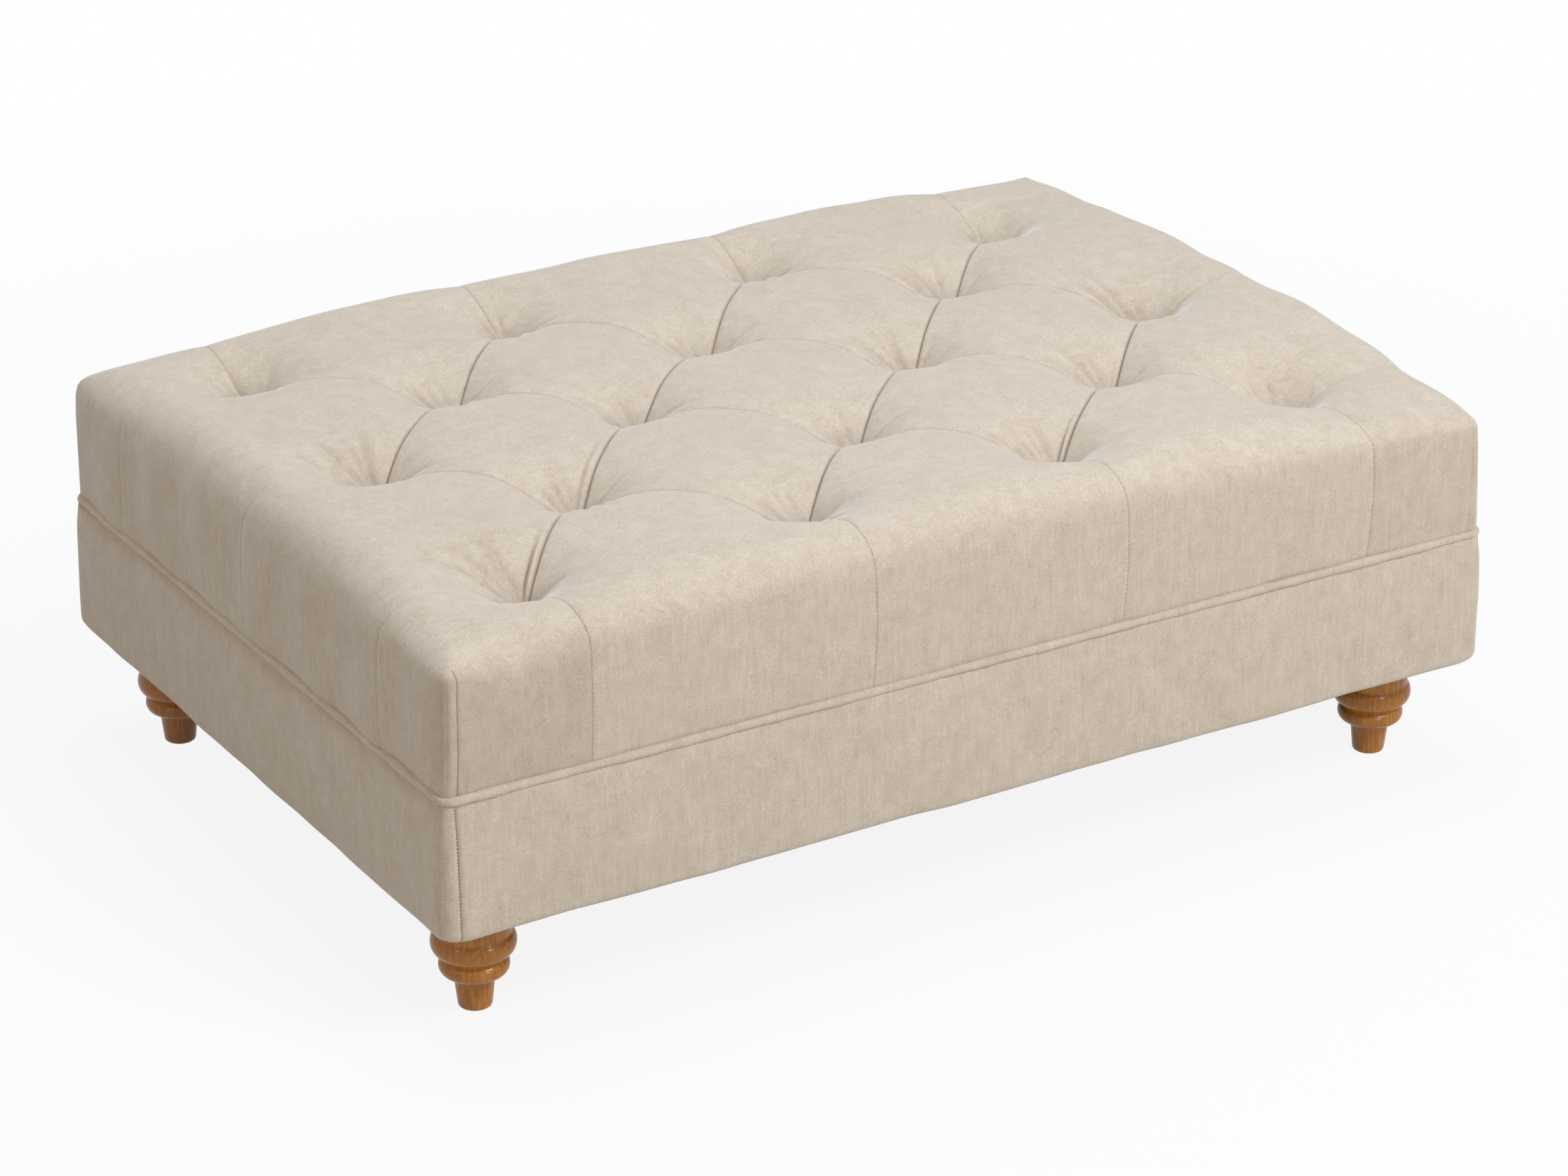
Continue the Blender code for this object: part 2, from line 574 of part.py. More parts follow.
for name, (way_x, way_y) in foot_places.items():
    spot = (way_x * FOOT_X, way_y * FOOT_Y, 0.0)
    foot = turned("foot_" + name, foot_profile(), BEECH, 16)
    foot.location = spot

    block_top = Z_RAIL + CORNER_BLOCK_HEIGHT
    block = box("corner_block_" + name, (block_x, block_y, CORNER_BLOCK_HEIGHT),
                (spot[0], spot[1], Z_RAIL + CORNER_BLOCK_HEIGHT / 2), PINE)
    cut(block, bolt_holes)

    nut_bottom = block_top + CLEARANCE
    bore = BOLT_RADIUS + CLEARANCE
    barrel = BOLT_HOLE - CLEARANCE
    nut_top = nut_bottom + T_NUT_FLANGE
    nut_end = nut_bottom - T_NUT_BARREL
    profile = [(bore, nut_top), (T_NUT_RADIUS, nut_top), (T_NUT_RADIUS, nut_bottom), (barrel, nut_bottom),
               (barrel, nut_end), (bore, nut_end)]
    nut = turned("t_nut_" + name, profile, STEEL, 12, closed=True)
    nut.location = spot

    low = FOOT_HEIGHT - BOLT_IN_FOOT + CLEARANCE
    high = nut_top + BOLT_SHOWING
    profile = [(0.0, high), (BOLT_RADIUS * 0.75, high), (BOLT_RADIUS, high - 0.001),
               (BOLT_RADIUS, low + 0.003), (BOLT_RADIUS * 0.4, low), (0.0, low)]
    bolt = turned("hanger_bolt_" + name, profile, STEEL, 12)
    bolt.location = spot

    profile = [(0.0, 0.0), (SCREW_HEAD_RADIUS, 0.0), (SCREW_HEAD_RADIUS, -SCREW_HEAD_DEPTH * 0.4),
               (SCREW_RADIUS, -SCREW_HEAD_DEPTH), (SCREW_RADIUS, 0.004 - SCREW_LENGTH), (0.0, -SCREW_LENGTH)]
    depth, side = name.split("_")
    face_y = way_y * RAIL_Y
    turn = (-way_y * math.pi / 2, 0, 0)
    long_cut = screw_cutter("screw_hole_long_" + name, spot[0], face_y, turn)
    cut(rails[depth], long_cut)
    cut(block, long_cut)
    screw = turned("screw_long_" + name, profile, STEEL, 8)
    screw.location = (spot[0], face_y, screw_level)
    screw.rotation_euler = turn

    face_x = way_x * RAIL_X
    end_y = way_y * screw_y
    turn = (0, way_x * math.pi / 2, 0)
    end_cut = screw_cutter("screw_hole_end_" + name, face_x, end_y, turn)
    cut(rails[side], end_cut)
    cut(block, end_cut)
    screw = turned("screw_end_" + name, profile, STEEL, 8)
    screw.location = (face_x, end_y, screw_level)
    screw.rotation_euler = turn
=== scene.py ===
# Upholstered bench: a deep-tufted velvet footstool on a fabric-covered base with four turned feet.
# Metres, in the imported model's frame: +X along the bench, front at -Y, floor at z = 0.
import math
import random

import bmesh
import bpy
import numpy as np
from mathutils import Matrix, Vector


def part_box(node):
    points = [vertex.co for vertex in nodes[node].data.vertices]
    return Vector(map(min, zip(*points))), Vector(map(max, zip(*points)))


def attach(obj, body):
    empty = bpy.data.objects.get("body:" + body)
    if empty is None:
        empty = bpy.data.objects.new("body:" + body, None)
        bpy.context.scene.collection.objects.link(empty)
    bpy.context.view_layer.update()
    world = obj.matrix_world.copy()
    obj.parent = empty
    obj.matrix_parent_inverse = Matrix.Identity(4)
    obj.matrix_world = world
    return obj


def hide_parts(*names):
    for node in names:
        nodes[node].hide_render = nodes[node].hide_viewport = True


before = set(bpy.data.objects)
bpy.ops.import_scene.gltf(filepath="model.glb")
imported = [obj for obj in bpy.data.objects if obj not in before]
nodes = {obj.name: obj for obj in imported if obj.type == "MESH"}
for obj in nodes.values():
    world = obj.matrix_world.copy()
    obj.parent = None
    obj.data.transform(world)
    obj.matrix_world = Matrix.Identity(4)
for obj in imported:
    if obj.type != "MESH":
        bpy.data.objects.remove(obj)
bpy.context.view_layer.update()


# Base frame: four softwood rails, two cross rails and four corner blocks, planed and screwed together.
# The pine is bare, with straight growth rings along each length and no finish, since nothing of it shows.
def linear(hex_colour):
    channels = [int(hex_colour[at:at + 2], 16) / 255 for at in (1, 3, 5)]
    return [c / 12.92 if c <= 0.04045 else ((c + 0.055) / 1.055) ** 2.4 for c in channels] + [1.0]


def new_finish(name):
    # An empty node material, which is filled by add() and ends in its output node.
    made = bpy.data.materials.new(name)
    made.use_nodes = True
    made.node_tree.nodes.clear()
    return made, made.node_tree


def add(tree, kind, inputs, **settings):
    # Adds one node with its settings; an input that is a socket is linked, any other is set. The sockets of
    # a Mix node share their names, so they go by number: 2 and 3 for values, 6 and 7 for colours.
    node = tree.nodes.new(kind)
    for key, value in settings.items():
        if key == "stops":
            while len(node.color_ramp.elements) < len(value):
                node.color_ramp.elements.new(0.5)
            for element, (spot, shade) in zip(node.color_ramp.elements, value):
                element.position = spot
                element.color = linear(shade)
        else:
            setattr(node, key, value)
    for key, value in inputs.items():
        if isinstance(value, bpy.types.NodeSocket):
            tree.links.new(value, node.inputs[key])
        else:
            node.inputs[key].default_value = value
    return node


def raw_timber(name, along, ring_mm, stops, rough):
    # Rings show as streaks along the timber: noise squeezed to ring_mm across and drawn out along it.
    drawn_out = 40
    made, tree = new_finish(name)
    place = add(tree, "ShaderNodeTexCoord", {})
    stretch = [1000 / ring_mm] * 3
    stretch[along] = 1000 / (ring_mm * drawn_out)
    squeeze = add(tree, "ShaderNodeMapping", {"Vector": place.outputs["Object"], "Scale": stretch})
    streak = add(tree, "ShaderNodeTexNoise",
                 {"Vector": squeeze.outputs["Vector"], "Scale": 1.0, "Detail": 4.0})
    tone = add(tree, "ShaderNodeValToRGB", {"Fac": streak.outputs["Fac"]}, stops=stops)
    bump = add(tree, "ShaderNodeBump",
               {"Height": streak.outputs["Fac"], "Strength": 0.2, "Distance": 0.0003})
    wood = add(tree, "ShaderNodeBsdfPrincipled",
               {"Base Color": tone.outputs["Color"], "Roughness": rough, "Normal": bump.outputs["Normal"]})
    add(tree, "ShaderNodeOutputMaterial", {"Surface": wood.outputs["BSDF"]})
    return made


def dress(node_name, look):
    nodes[node_name].data.materials.clear()
    nodes[node_name].data.materials.append(look)


along_x = 0
along_y = 1
pine_ring_mm = 4.0
pine_rough = 0.7
pine_tones = ((0.35, "#b98f5c"), (0.5, "#d3ad79"), (0.7, "#e0c08f"))
pine_long = raw_timber("planed_pine_lengthwise", along_x, pine_ring_mm, pine_tones, pine_rough)
pine_cross = raw_timber("planed_pine_crosswise", along_y, pine_ring_mm, pine_tones, pine_rough)
for name in ("front_rail", "back_rail"):
    dress(name, pine_long)
for name in ("left_rail", "right_rail", "cross_rail_left", "cross_rail_right"):
    dress(name, pine_cross)
corners = ("front_left", "front_right", "back_left", "back_right")
for corner in corners:
    dress("corner_block_" + corner, pine_cross)


# Seat board: birch plywood, screwed down on the rails and drilled for the tuft ties.
# Pale rotary-cut face veneer with broad soft figure.
birch_figure_mm = 14.0
birch_rough = 0.6
birch_tones = ((0.3, "#cba673"), (0.55, "#dcbd8c"), (0.8, "#e6cc9f"))
birch = raw_timber("birch_plywood_face", along_x, birch_figure_mm, birch_tones, birch_rough)
dress("top_board", birch)


# Fixings: hanger bolts and T-nuts for the feet, screws through the rails into the corner blocks.
# Zinc-plated steel, a little dull, with a faint mottle in the plating.
mottle_mm = 1.5
zinc, tree = new_finish("zinc_plated_steel")
place = add(tree, "ShaderNodeTexCoord", {})
mottle = add(tree, "ShaderNodeTexNoise",
             {"Vector": place.outputs["Object"], "Scale": 1000 / mottle_mm, "Detail": 3.0})
tone = add(tree, "ShaderNodeValToRGB", {"Fac": mottle.outputs["Fac"]},
           stops=((0.3, "#b4b6b4"), (0.7, "#cfd0cc")))
dull = add(tree, "ShaderNodeMapRange", {"Value": mottle.outputs["Fac"], "To Min": 0.28, "To Max": 0.45})
plating = add(tree, "ShaderNodeBsdfPrincipled",
              {"Base Color": tone.outputs["Color"], "Metallic": 1.0, "Roughness": dull.outputs["Result"]})
add(tree, "ShaderNodeOutputMaterial", {"Surface": plating.outputs["BSDF"]})
for corner in corners:
    for kind in ("hanger_bolt_", "t_nut_", "screw_long_", "screw_end_"):
        dress(kind + corner, zinc)


# Tuft ties: waxed flax twine that pulls each tuft down and is tied off to a toggle disc under the board.
# Two-ply twist shows as fine slanting bands. A diagonal wave of scale 1 repeats every wave_repeat metres
# on a flat face, which turns a real spacing into the scale of the bands.
wave_repeat = 0.444
tie_count = 18
ply_mm = 1.5
twine, tree = new_finish("waxed_flax_twine")
place = add(tree, "ShaderNodeTexCoord", {})
ply = add(tree, "ShaderNodeTexWave",
          {"Vector": place.outputs["Object"], "Scale": wave_repeat * 1000 / ply_mm, "Distortion": 1.0},
          bands_direction="DIAGONAL")
tone = add(tree, "ShaderNodeValToRGB", {"Fac": ply.outputs["Fac"]},
           stops=((0.2, "#9b8257"), (0.8, "#c4ab7c")))
flax = add(tree, "ShaderNodeBsdfPrincipled", {"Base Color": tone.outputs["Color"], "Roughness": 0.7})
add(tree, "ShaderNodeOutputMaterial", {"Surface": flax.outputs["BSDF"]})
for number in range(1, tie_count + 1):
    dress("tuft_tie_%02d" % number, twine)


# Feet: four beech turnings, each a tapered peg, a small ring, a large ring and a neck under the base.
# Stained honey brown and lacquered; beech shows fine straight grain and short dark flecks.
grain_mm = 2.2
grain_run_mm = 70
fleck_mm = 0.9
fleck_run_mm = 5
beech, tree = new_finish("lacquered_beech")
place = add(tree, "ShaderNodeTexCoord", {})
upright = add(tree, "ShaderNodeMapping", {"Vector": place.outputs["Object"],
                                          "Scale": (1000 / grain_mm, 1000 / grain_mm, 1000 / grain_run_mm)})
grain = add(tree, "ShaderNodeTexNoise",
            {"Vector": upright.outputs["Vector"], "Scale": 1.0, "Detail": 5.0, "Roughness": 0.6})
tone = add(tree, "ShaderNodeValToRGB", {"Fac": grain.outputs["Fac"]},
           stops=((0.28, "#95571f"), (0.5, "#b0712c"), (0.72, "#c2873b")))
short = add(tree, "ShaderNodeMapping", {"Vector": place.outputs["Object"],
                                        "Scale": (1000 / fleck_mm, 1000 / fleck_mm, 1000 / fleck_run_mm)})
fleck = add(tree, "ShaderNodeTexNoise", {"Vector": short.outputs["Vector"], "Scale": 1.0, "Detail": 1.0})
dark = add(tree, "ShaderNodeMapRange", {"Value": fleck.outputs["Fac"], "From Min": 0.64, "From Max": 0.76})
flecked = add(tree, "ShaderNodeMix",
              {"Factor": dark.outputs["Result"], 6: tone.outputs["Color"], 7: linear("#d2b79f")},
              data_type="RGBA", blend_type="MULTIPLY")
bump = add(tree, "ShaderNodeBump", {"Height": grain.outputs["Fac"], "Strength": 0.08, "Distance": 0.0004})
lacquer = add(tree, "ShaderNodeBsdfPrincipled",
              {"Base Color": flecked.outputs[2], "Roughness": 0.5, "Specular IOR Level": 0.1,
               "Coat Weight": 0.5, "Coat Roughness": 0.12, "Normal": bump.outputs["Normal"]})
add(tree, "ShaderNodeOutputMaterial", {"Surface": lacquer.outputs["BSDF"]})

foot_height = 0.1092
neck_radius = 0.0346
ring_top = 0.076
large_ring = 0.0382
large_ring_level = 0.06424
small_ring = 0.0316
small_ring_level = 0.0414
peg_top = 0.026
peg_low = 0.004
peg_radius = 0.0156
peg_taper = 0.0024
lathe_steps = 72
sharp_edge = math.radians(50)
touching = 1e-6
full_turn = 6.28


def turned_profile():
    # Half outline of the foot as (radius, height), from the middle of its top face to that underneath.
    outline = [(0.0, foot_height), (0.0325, foot_height), (0.0338, foot_height - 0.0006),
               (0.0344, foot_height - 0.002), (neck_radius, ring_top + 0.006),
               (0.0345, ring_top + 0.0005), (0.0342, ring_top - 0.0012)]
    # The large ring is a bead a little taller than it is deep, and the small one is round:
    # (radius, level, depth, half height, points, degrees between them).
    beads = ((large_ring, large_ring_level, 0.0107, 0.0126, 16, 8),
             (small_ring, small_ring_level, 0.00924, 0.00924, 15, 9))
    for ring, middle, deep, tall, count, angle in beads:
        for step in range(count):
            turn = math.radians(48 - angle * step)
            outline.append((ring - deep + deep * math.cos(turn), middle + tall * math.sin(turn)))
    # A cove runs into the peg, which tapers to a rounded foot.
    outline += [(0.0205, peg_top + 0.0062), (0.0192, peg_top + 0.0045), (0.0184, peg_top + 0.0022),
                (peg_radius + peg_taper, peg_top)]
    steps = 8
    for step in range(steps - 1, -1, -1):
        share = step / steps
        outline.append((peg_radius + peg_taper * share, peg_low + (peg_top - peg_low) * share))
    return outline + [(0.0154, 0.0022), (0.0148, 0.0009), (0.0138, 0.0002), (0.0128, 0.0), (0.0, 0.0)]


def finished_piece(name, bm, look):
    # Makes a smooth-shaded object with one finish out of a bmesh.
    bmesh.ops.recalc_face_normals(bm, faces=bm.faces)
    mesh = bpy.data.meshes.new(name)
    bm.to_mesh(mesh)
    bm.free()
    mesh.shade_smooth()
    mesh.materials.append(look)
    piece = bpy.data.objects.new(name, mesh)
    bpy.context.scene.collection.objects.link(piece)
    return piece


for corner in corners:
    low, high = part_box("foot_" + corner)
    bm = bmesh.new()
    points = [bm.verts.new((radius, 0.0, level)) for radius, level in turned_profile()]
    edges = [bm.edges.new(pair) for pair in zip(points, points[1:])]
    bmesh.ops.spin(bm, geom=points + edges, axis=(0, 0, 1), cent=(0, 0, 0), steps=lathe_steps,
                   angle=2 * math.pi)
    bmesh.ops.remove_doubles(bm, verts=bm.verts, dist=touching)
    foot = finished_piece("turned_foot_" + corner, bm, beech)
    foot.data.set_sharp_from_angle(angle=sharp_edge)
    foot.location = ((low[0] + high[0]) / 2, (low[1] + high[1]) / 2, 0.0)
    foot.rotation_euler.z = random.Random(corner).uniform(0, full_turn)
    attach(foot, "root")
    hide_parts("foot_" + corner)


# Dust cover: black spun-bonded cloth stapled under the base, with the feet bolted through it.
# The cloth is dull, with a pressed grid of small bond points.
bond_mm = 2.5
fibre_mm = 1.2
dust, tree = new_finish("spunbonded_dust_cloth")
place = add(tree, "ShaderNodeTexCoord", {})
bond = add(tree, "ShaderNodeTexVoronoi",
           {"Vector": place.outputs["Object"], "Scale": 1000 / bond_mm, "Randomness": 0.15})
fibre = add(tree, "ShaderNodeTexNoise",
            {"Vector": place.outputs["Object"], "Scale": 1000 / fibre_mm, "Detail": 4.0})
tone = add(tree, "ShaderNodeValToRGB", {"Fac": fibre.outputs["Fac"]},
           stops=((0.3, "#141414"), (0.7, "#2b2b2a")))
bump = add(tree, "ShaderNodeBump",
           {"Height": bond.outputs["Distance"], "Strength": 0.4, "Distance": 0.0004})
cloth = add(tree, "ShaderNodeBsdfPrincipled",
            {"Base Color": tone.outputs["Color"], "Roughness": 0.85, "Normal": bump.outputs["Normal"]})
add(tree, "ShaderNodeOutputMaterial", {"Surface": cloth.outputs["BSDF"]})
dress("dust_cover", dust)


# Border cover: velvet strips round the base, sewn near the corners, turned in and stapled underneath.
# On the left the end strip wraps round the corners, so its seams lie on the long faces; on the right the
# long strips do, and the seams lie on the end. Glued wadding behind them pads the wall.
def velvet(name):
    # Cotton velvet, a short brushed pile over a fine twill: dull, a soft pale sheen, cloudy patches where the
    # nap lies over and looks rosier, and faint streaks where it was brushed down. A panel cut the other way
    # of the nap is browner, and painted shade browns the pile in the seams, creases, darts and tufts: the
    # mesh's tone attribute says how much of both. The twill's real spacing is about 1 mm; it is drawn at
    # twill_mm, as coarse as it needs to show.
    cloud_mm = 16
    brushed_mm = 4.0
    brushed_run_mm = 40
    twill_mm = 2.4
    pile_mm = 1.6
    nap_tones = ((0.30, "#b39e87"), (0.43, "#bfae98"), (0.54, "#c7b8a4"), (0.66, "#cec2b1"))
    shade_and_nap_brown = "#8f643c"
    made, tree = new_finish(name)
    place = add(tree, "ShaderNodeTexCoord", {})
    here = place.outputs["Object"]
    cloud = add(tree, "ShaderNodeTexNoise",
                {"Vector": here, "Scale": 1000 / cloud_mm, "Detail": 6.0, "Roughness": 0.66,
                 "Distortion": 0.3})
    down = add(tree, "ShaderNodeMapping",
               {"Vector": here, "Scale": (1000 / brushed_mm, 1000 / brushed_mm, 1000 / brushed_run_mm)})
    brushed = add(tree, "ShaderNodeTexNoise",
                  {"Vector": down.outputs["Vector"], "Scale": 1.0, "Detail": 3.0, "Roughness": 0.6})
    twill = add(tree, "ShaderNodeTexWave",
                {"Vector": here, "Scale": wave_repeat * 1000 / twill_mm, "Distortion": 1.5, "Detail": 2.0,
                 "Detail Scale": 2.0}, bands_direction="DIAGONAL")
    pile = add(tree, "ShaderNodeTexNoise",
               {"Vector": here, "Scale": 1000 / pile_mm, "Detail": 4.0, "Roughness": 0.65})
    nap = add(tree, "ShaderNodeMix", {"Factor": 0.42, 2: cloud.outputs["Fac"], 3: brushed.outputs["Fac"]})
    flecked = add(tree, "ShaderNodeMix", {"Factor": 0.35, 2: nap.outputs[0], 3: pile.outputs["Fac"]})
    tone = add(tree, "ShaderNodeValToRGB", {"Fac": flecked.outputs[0]}, stops=nap_tones)
    thread = add(tree, "ShaderNodeMath", {0: twill.outputs["Fac"], 1: 0.10, 2: pile.outputs["Fac"]},
                 operation="MULTIPLY_ADD")
    depth = add(tree, "ShaderNodeMapRange",
                {"Value": thread.outputs["Value"], "From Min": 0.26, "From Max": 0.84, "To Min": 0.90,
                 "To Max": 1.09})
    # Browns the colour by the mesh's tone attribute: for a turned-nap panel, and as painted shade in the
    # seams, darts, creases and pits.
    panel = add(tree, "ShaderNodeAttribute", {}, attribute_name="nap_tone")
    laid_and_shaded = add(tree, "ShaderNodeMix",
               {"Factor": panel.outputs["Fac"], 6: tone.outputs["Color"], 7: linear(shade_and_nap_brown)},
               data_type="RGBA", blend_type="MULTIPLY")
    shade = add(tree, "ShaderNodeVectorMath", {0: laid_and_shaded.outputs[2], "Scale": depth.outputs["Result"]},
                operation="SCALE")
    bump = add(tree, "ShaderNodeBump",
               {"Height": thread.outputs["Value"], "Strength": 0.12, "Distance": 0.0004})
    cotton = add(tree, "ShaderNodeBsdfPrincipled",
                 {"Base Color": shade.outputs["Vector"], "Roughness": 0.92, "Specular IOR Level": 0.05,
                  "Sheen Weight": 0.7, "Sheen Roughness": 0.45, "Sheen Tint": linear("#f8f7f5"),
                  "Normal": bump.outputs["Normal"]})
    add(tree, "ShaderNodeOutputMaterial", {"Surface": cotton.outputs["BSDF"]})
    return made


border_velvet = velvet("beige_cotton_velvet_border")
half_x = 0.555
half_y = 0.3865
border_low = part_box("border_front")[0][2]
border_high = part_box("border_front")[1][2]
corner_round = 0.012
walk_spacing = 0.006


def perimeter(half_long, half_wide, radius, spacing):
    # Points round a rounded rectangle from the front left corner, with their outward directions.
    path = []
    quarter = math.pi / 2
    arc_steps = 8
    spans = ((-1, -1, 2 * quarter), (1, -1, 3 * quarter), (1, 1, 0.0), (-1, 1, quarter))
    for index, (way_x, way_y, start) in enumerate(spans):
        middle = Vector((way_x * (half_long - radius), way_y * (half_wide - radius)))
        for step in range(arc_steps + 1):
            turn = start + quarter * step / arc_steps
            out = Vector((math.cos(turn), math.sin(turn)))
            path.append((middle + out * radius, out))
        following = spans[(index + 1) % 4]
        goal = Vector((following[0] * (half_long - radius), following[1] * (half_wide - radius)))
        out = Vector((math.cos(start + quarter), math.sin(start + quarter)))
        first_point = middle + out * radius
        last_point = goal + out * radius
        count = max(2, round((last_point - first_point).length / spacing))
        for step in range(1, count):
            path.append((first_point.lerp(last_point, step / count), out))
    return path


def wander(seed, waves):
    # A smooth wandering offset for a length in metres, the same on each run.
    draw = random.Random(seed)
    parts = [(2 * math.pi / length, draw.uniform(0, full_turn), size) for length, size in waves]
    return lambda along: sum(size * math.sin(rate * along + phase) for rate, phase, size in parts)


def border_profile():
    # (outward offset, height) from the top edge under the piping, down the wall, to the edge turned in.
    tuck = 0.0015
    tuck_share = 0.10
    flare = 0.0034
    flare_share = 0.85
    wall_steps = 16
    hem_round = 0.009
    hem_drop = 0.0018
    hem_steps = 7
    height = border_high - border_low
    wall_top = height - 0.002
    wall = wall_top - (hem_round - hem_drop)
    rows = [(-0.0045, height + 0.0012), (-0.0030, height + 0.0008), (-0.0020, height - 0.0004),
            (-tuck, wall_top)]
    for step in range(1, wall_steps):
        share = step / wall_steps
        bulge = flare * math.sin(math.pi / 2 * min(1.0, share / flare_share))
        rows.append((bulge - tuck * math.exp(-(share / tuck_share) ** 2), wall_top - wall * share))
    for step in range(hem_steps + 1):
        turn = math.radians(90 * step / hem_steps)
        rows.append((flare - hem_round * (1 - math.cos(turn)), hem_round * (1 - math.sin(turn)) - hem_drop))
    return rows + [(-0.009, -0.0006), (-0.012, -0.0003), (-0.016, -0.0001), (-0.020, 0.0), (-0.0262, 0.0)]


walk = perimeter(half_x, half_y, corner_round, walk_spacing)
lengths = [0.0]
for (here, _), (there, _) in zip(walk, walk[1:] + walk[:1]):
    lengths.append(lengths[-1] + (there - here).length)
around = lengths.pop()
ripple = wander("border", ((0.31, 0.0005), (0.17, 0.0004), (0.083, 0.00025)))
hem_wave = wander("hem", ((0.27, 0.0004), (0.12, 0.0002), (0.06, 0.0001)))
rows = border_profile()
seam_x = corner_round - half_x
seam_y = half_y - corner_round
side_of = []
seam_at = []
fold_at = []
for index, (spot, out) in enumerate(walk):
    faces_right = out.x > 0.99
    if spot.x < seam_x - touching:
        side_of.append("left")
    elif faces_right and abs(spot.y) < seam_y - touching:
        side_of.append("right")
    else:
        side_of.append("front" if spot.y < 0 else "back")
    on_left_seam = abs(spot.x - seam_x) < touching and abs(out.x) < 0.01
    on_right_seam = faces_right and abs(abs(spot.y) - seam_y) < touching
    if on_left_seam or on_right_seam:
        seam_at.append(index)
    if abs(abs(out.x) - abs(out.y)) < 1e-3:
        fold_at.append(index)


def along_gap(index, marks):
    gaps = [abs(lengths[index] - lengths[mark]) for mark in marks]
    return min(min(gap, around - gap) for gap in gaps)


def border_point(index, row):
    # The profile at one place of the walk, with the cloth's ripple, the sunk seams and a hem that waves and
    # lifts at each corner's fold.
    turned_in = -0.005
    hem_reach = 0.03
    stand_off = 0.0002
    index = index % len(walk)
    spot, out = walk[index]
    offset, level = rows[row]
    low_share = max(0.0, 1 - max(0.0, level) / hem_reach)
    if offset > turned_in:
        seam_sunk = 0.0004 * math.exp(-along_gap(index, seam_at) / 0.0014)
        fold_lift = 0.0025 * math.exp(-(along_gap(index, fold_at) / 0.012) ** 2)
        offset += ripple(lengths[index] + 0.8 * level) - seam_sunk
        level += low_share * (hem_wave(lengths[index]) + fold_lift)
    place = spot + out * offset
    return Vector((place.x, place.y, border_low + stand_off + level))


for side in ("front", "back", "left", "right"):
    count = len(walk)
    start = next(i for i in range(count) if side_of[i] == side and side_of[i - 1] != side)
    run = [start]
    while side_of[(run[-1] + 1) % count] == side:
        run.append(run[-1] + 1)
    if side in ("left", "right"):
        run = [run[0] - 1] + run + [run[-1] + 1]
    bm = bmesh.new()
    sheet = [[bm.verts.new(border_point(index, row)) for row in range(len(rows))] for index in run]
    for first, second in zip(sheet, sheet[1:]):
        for row in range(len(rows) - 1):
            bm.faces.new((first[row], first[row + 1], second[row + 1], second[row]))
    strip = finished_piece("border_strip_" + side, bm, border_velvet)
    thick = strip.modifiers.new("cloth", "SOLIDIFY")
    thick.thickness = 0.0012
    thick.offset = -1.0
    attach(strip, "root")
    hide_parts("border_" + side, *(["border_padding"] if side == "front" else []))


# Corner stitching: brown polyester thread closes each upright seam of the border.
# Short lockstitches about 3 mm apart, each sunk a little into the pile.
def thread_finish(name, stops):
    # Spun polyester, slightly lustrous, with the twist of its plies as fine slanting bands.
    twist_mm = 0.8
    made, tree = new_finish(name)
    place = add(tree, "ShaderNodeTexCoord", {})
    twist = add(tree, "ShaderNodeTexWave",
                {"Vector": place.outputs["Object"], "Scale": wave_repeat * 1000 / twist_mm},
                bands_direction="DIAGONAL")
    tone = add(tree, "ShaderNodeValToRGB", {"Fac": twist.outputs["Fac"]}, stops=stops)
    strand = add(tree, "ShaderNodeBsdfPrincipled", {"Base Color": tone.outputs["Color"], "Roughness": 0.6})
    add(tree, "ShaderNodeOutputMaterial", {"Surface": strand.outputs["BSDF"]})
    return made


def lay_stitches(bm, path, pitch, length, radius):
    # Puts a spindle of thread every pitch along a path of (place, outward direction) pairs.
    spindle = ((-0.5, 0.35), (-0.32, 0.9), (0.0, 1.0), (0.32, 0.9), (0.5, 0.35))
    sides = 6
    turns = [2 * math.pi * k / sides for k in range(sides)]
    travelled = 0.0
    wanted = pitch / 2
    for (here, out), (there, _) in zip(path, path[1:]):
        step = (there - here).length
        while step > 0 and wanted <= travelled + step:
            middle = here.lerp(there, (wanted - travelled) / step)
            along = (there - here).normalized()
            across = along.cross(out).normalized()
            rings = []
            for share, girth in spindle:
                proud = radius * (0.9 - 3.2 * abs(share) ** 2)
                centre = middle + along * (share * length) + out * proud
                spokes = [across * math.cos(turn) + out * math.sin(turn) for turn in turns]
                rings.append([bm.verts.new(centre + spoke * (radius * girth)) for spoke in spokes])
            for first, second in zip(rings, rings[1:]):
                for k in range(sides):
                    after = (k + 1) % sides
                    bm.faces.new((first[k], first[after], second[after], second[k]))
            bm.faces.new(rings[0][::-1])
            bm.faces.new(rings[-1])
            wanted += pitch
        travelled += step


def thread_piece(name, bm, look):
    piece = finished_piece(name, bm, look)
    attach(piece, "root")


border_stitch = {"pitch": 0.0032, "length": 0.0021, "radius": 0.00028}
bm = bmesh.new()
for index in seam_at:
    outward = Vector((walk[index][1].x, walk[index][1].y, 0.0))
    path = [(border_point(index, row), outward) for row in range(3, len(rows) - 7)]
    lay_stitches(bm, path, **border_stitch)
border_thread = thread_finish("brown_polyester_thread", ((0.2, "#6d563f"), (0.8, "#866c52")))
thread_piece("corner_stitching", bm, border_thread)


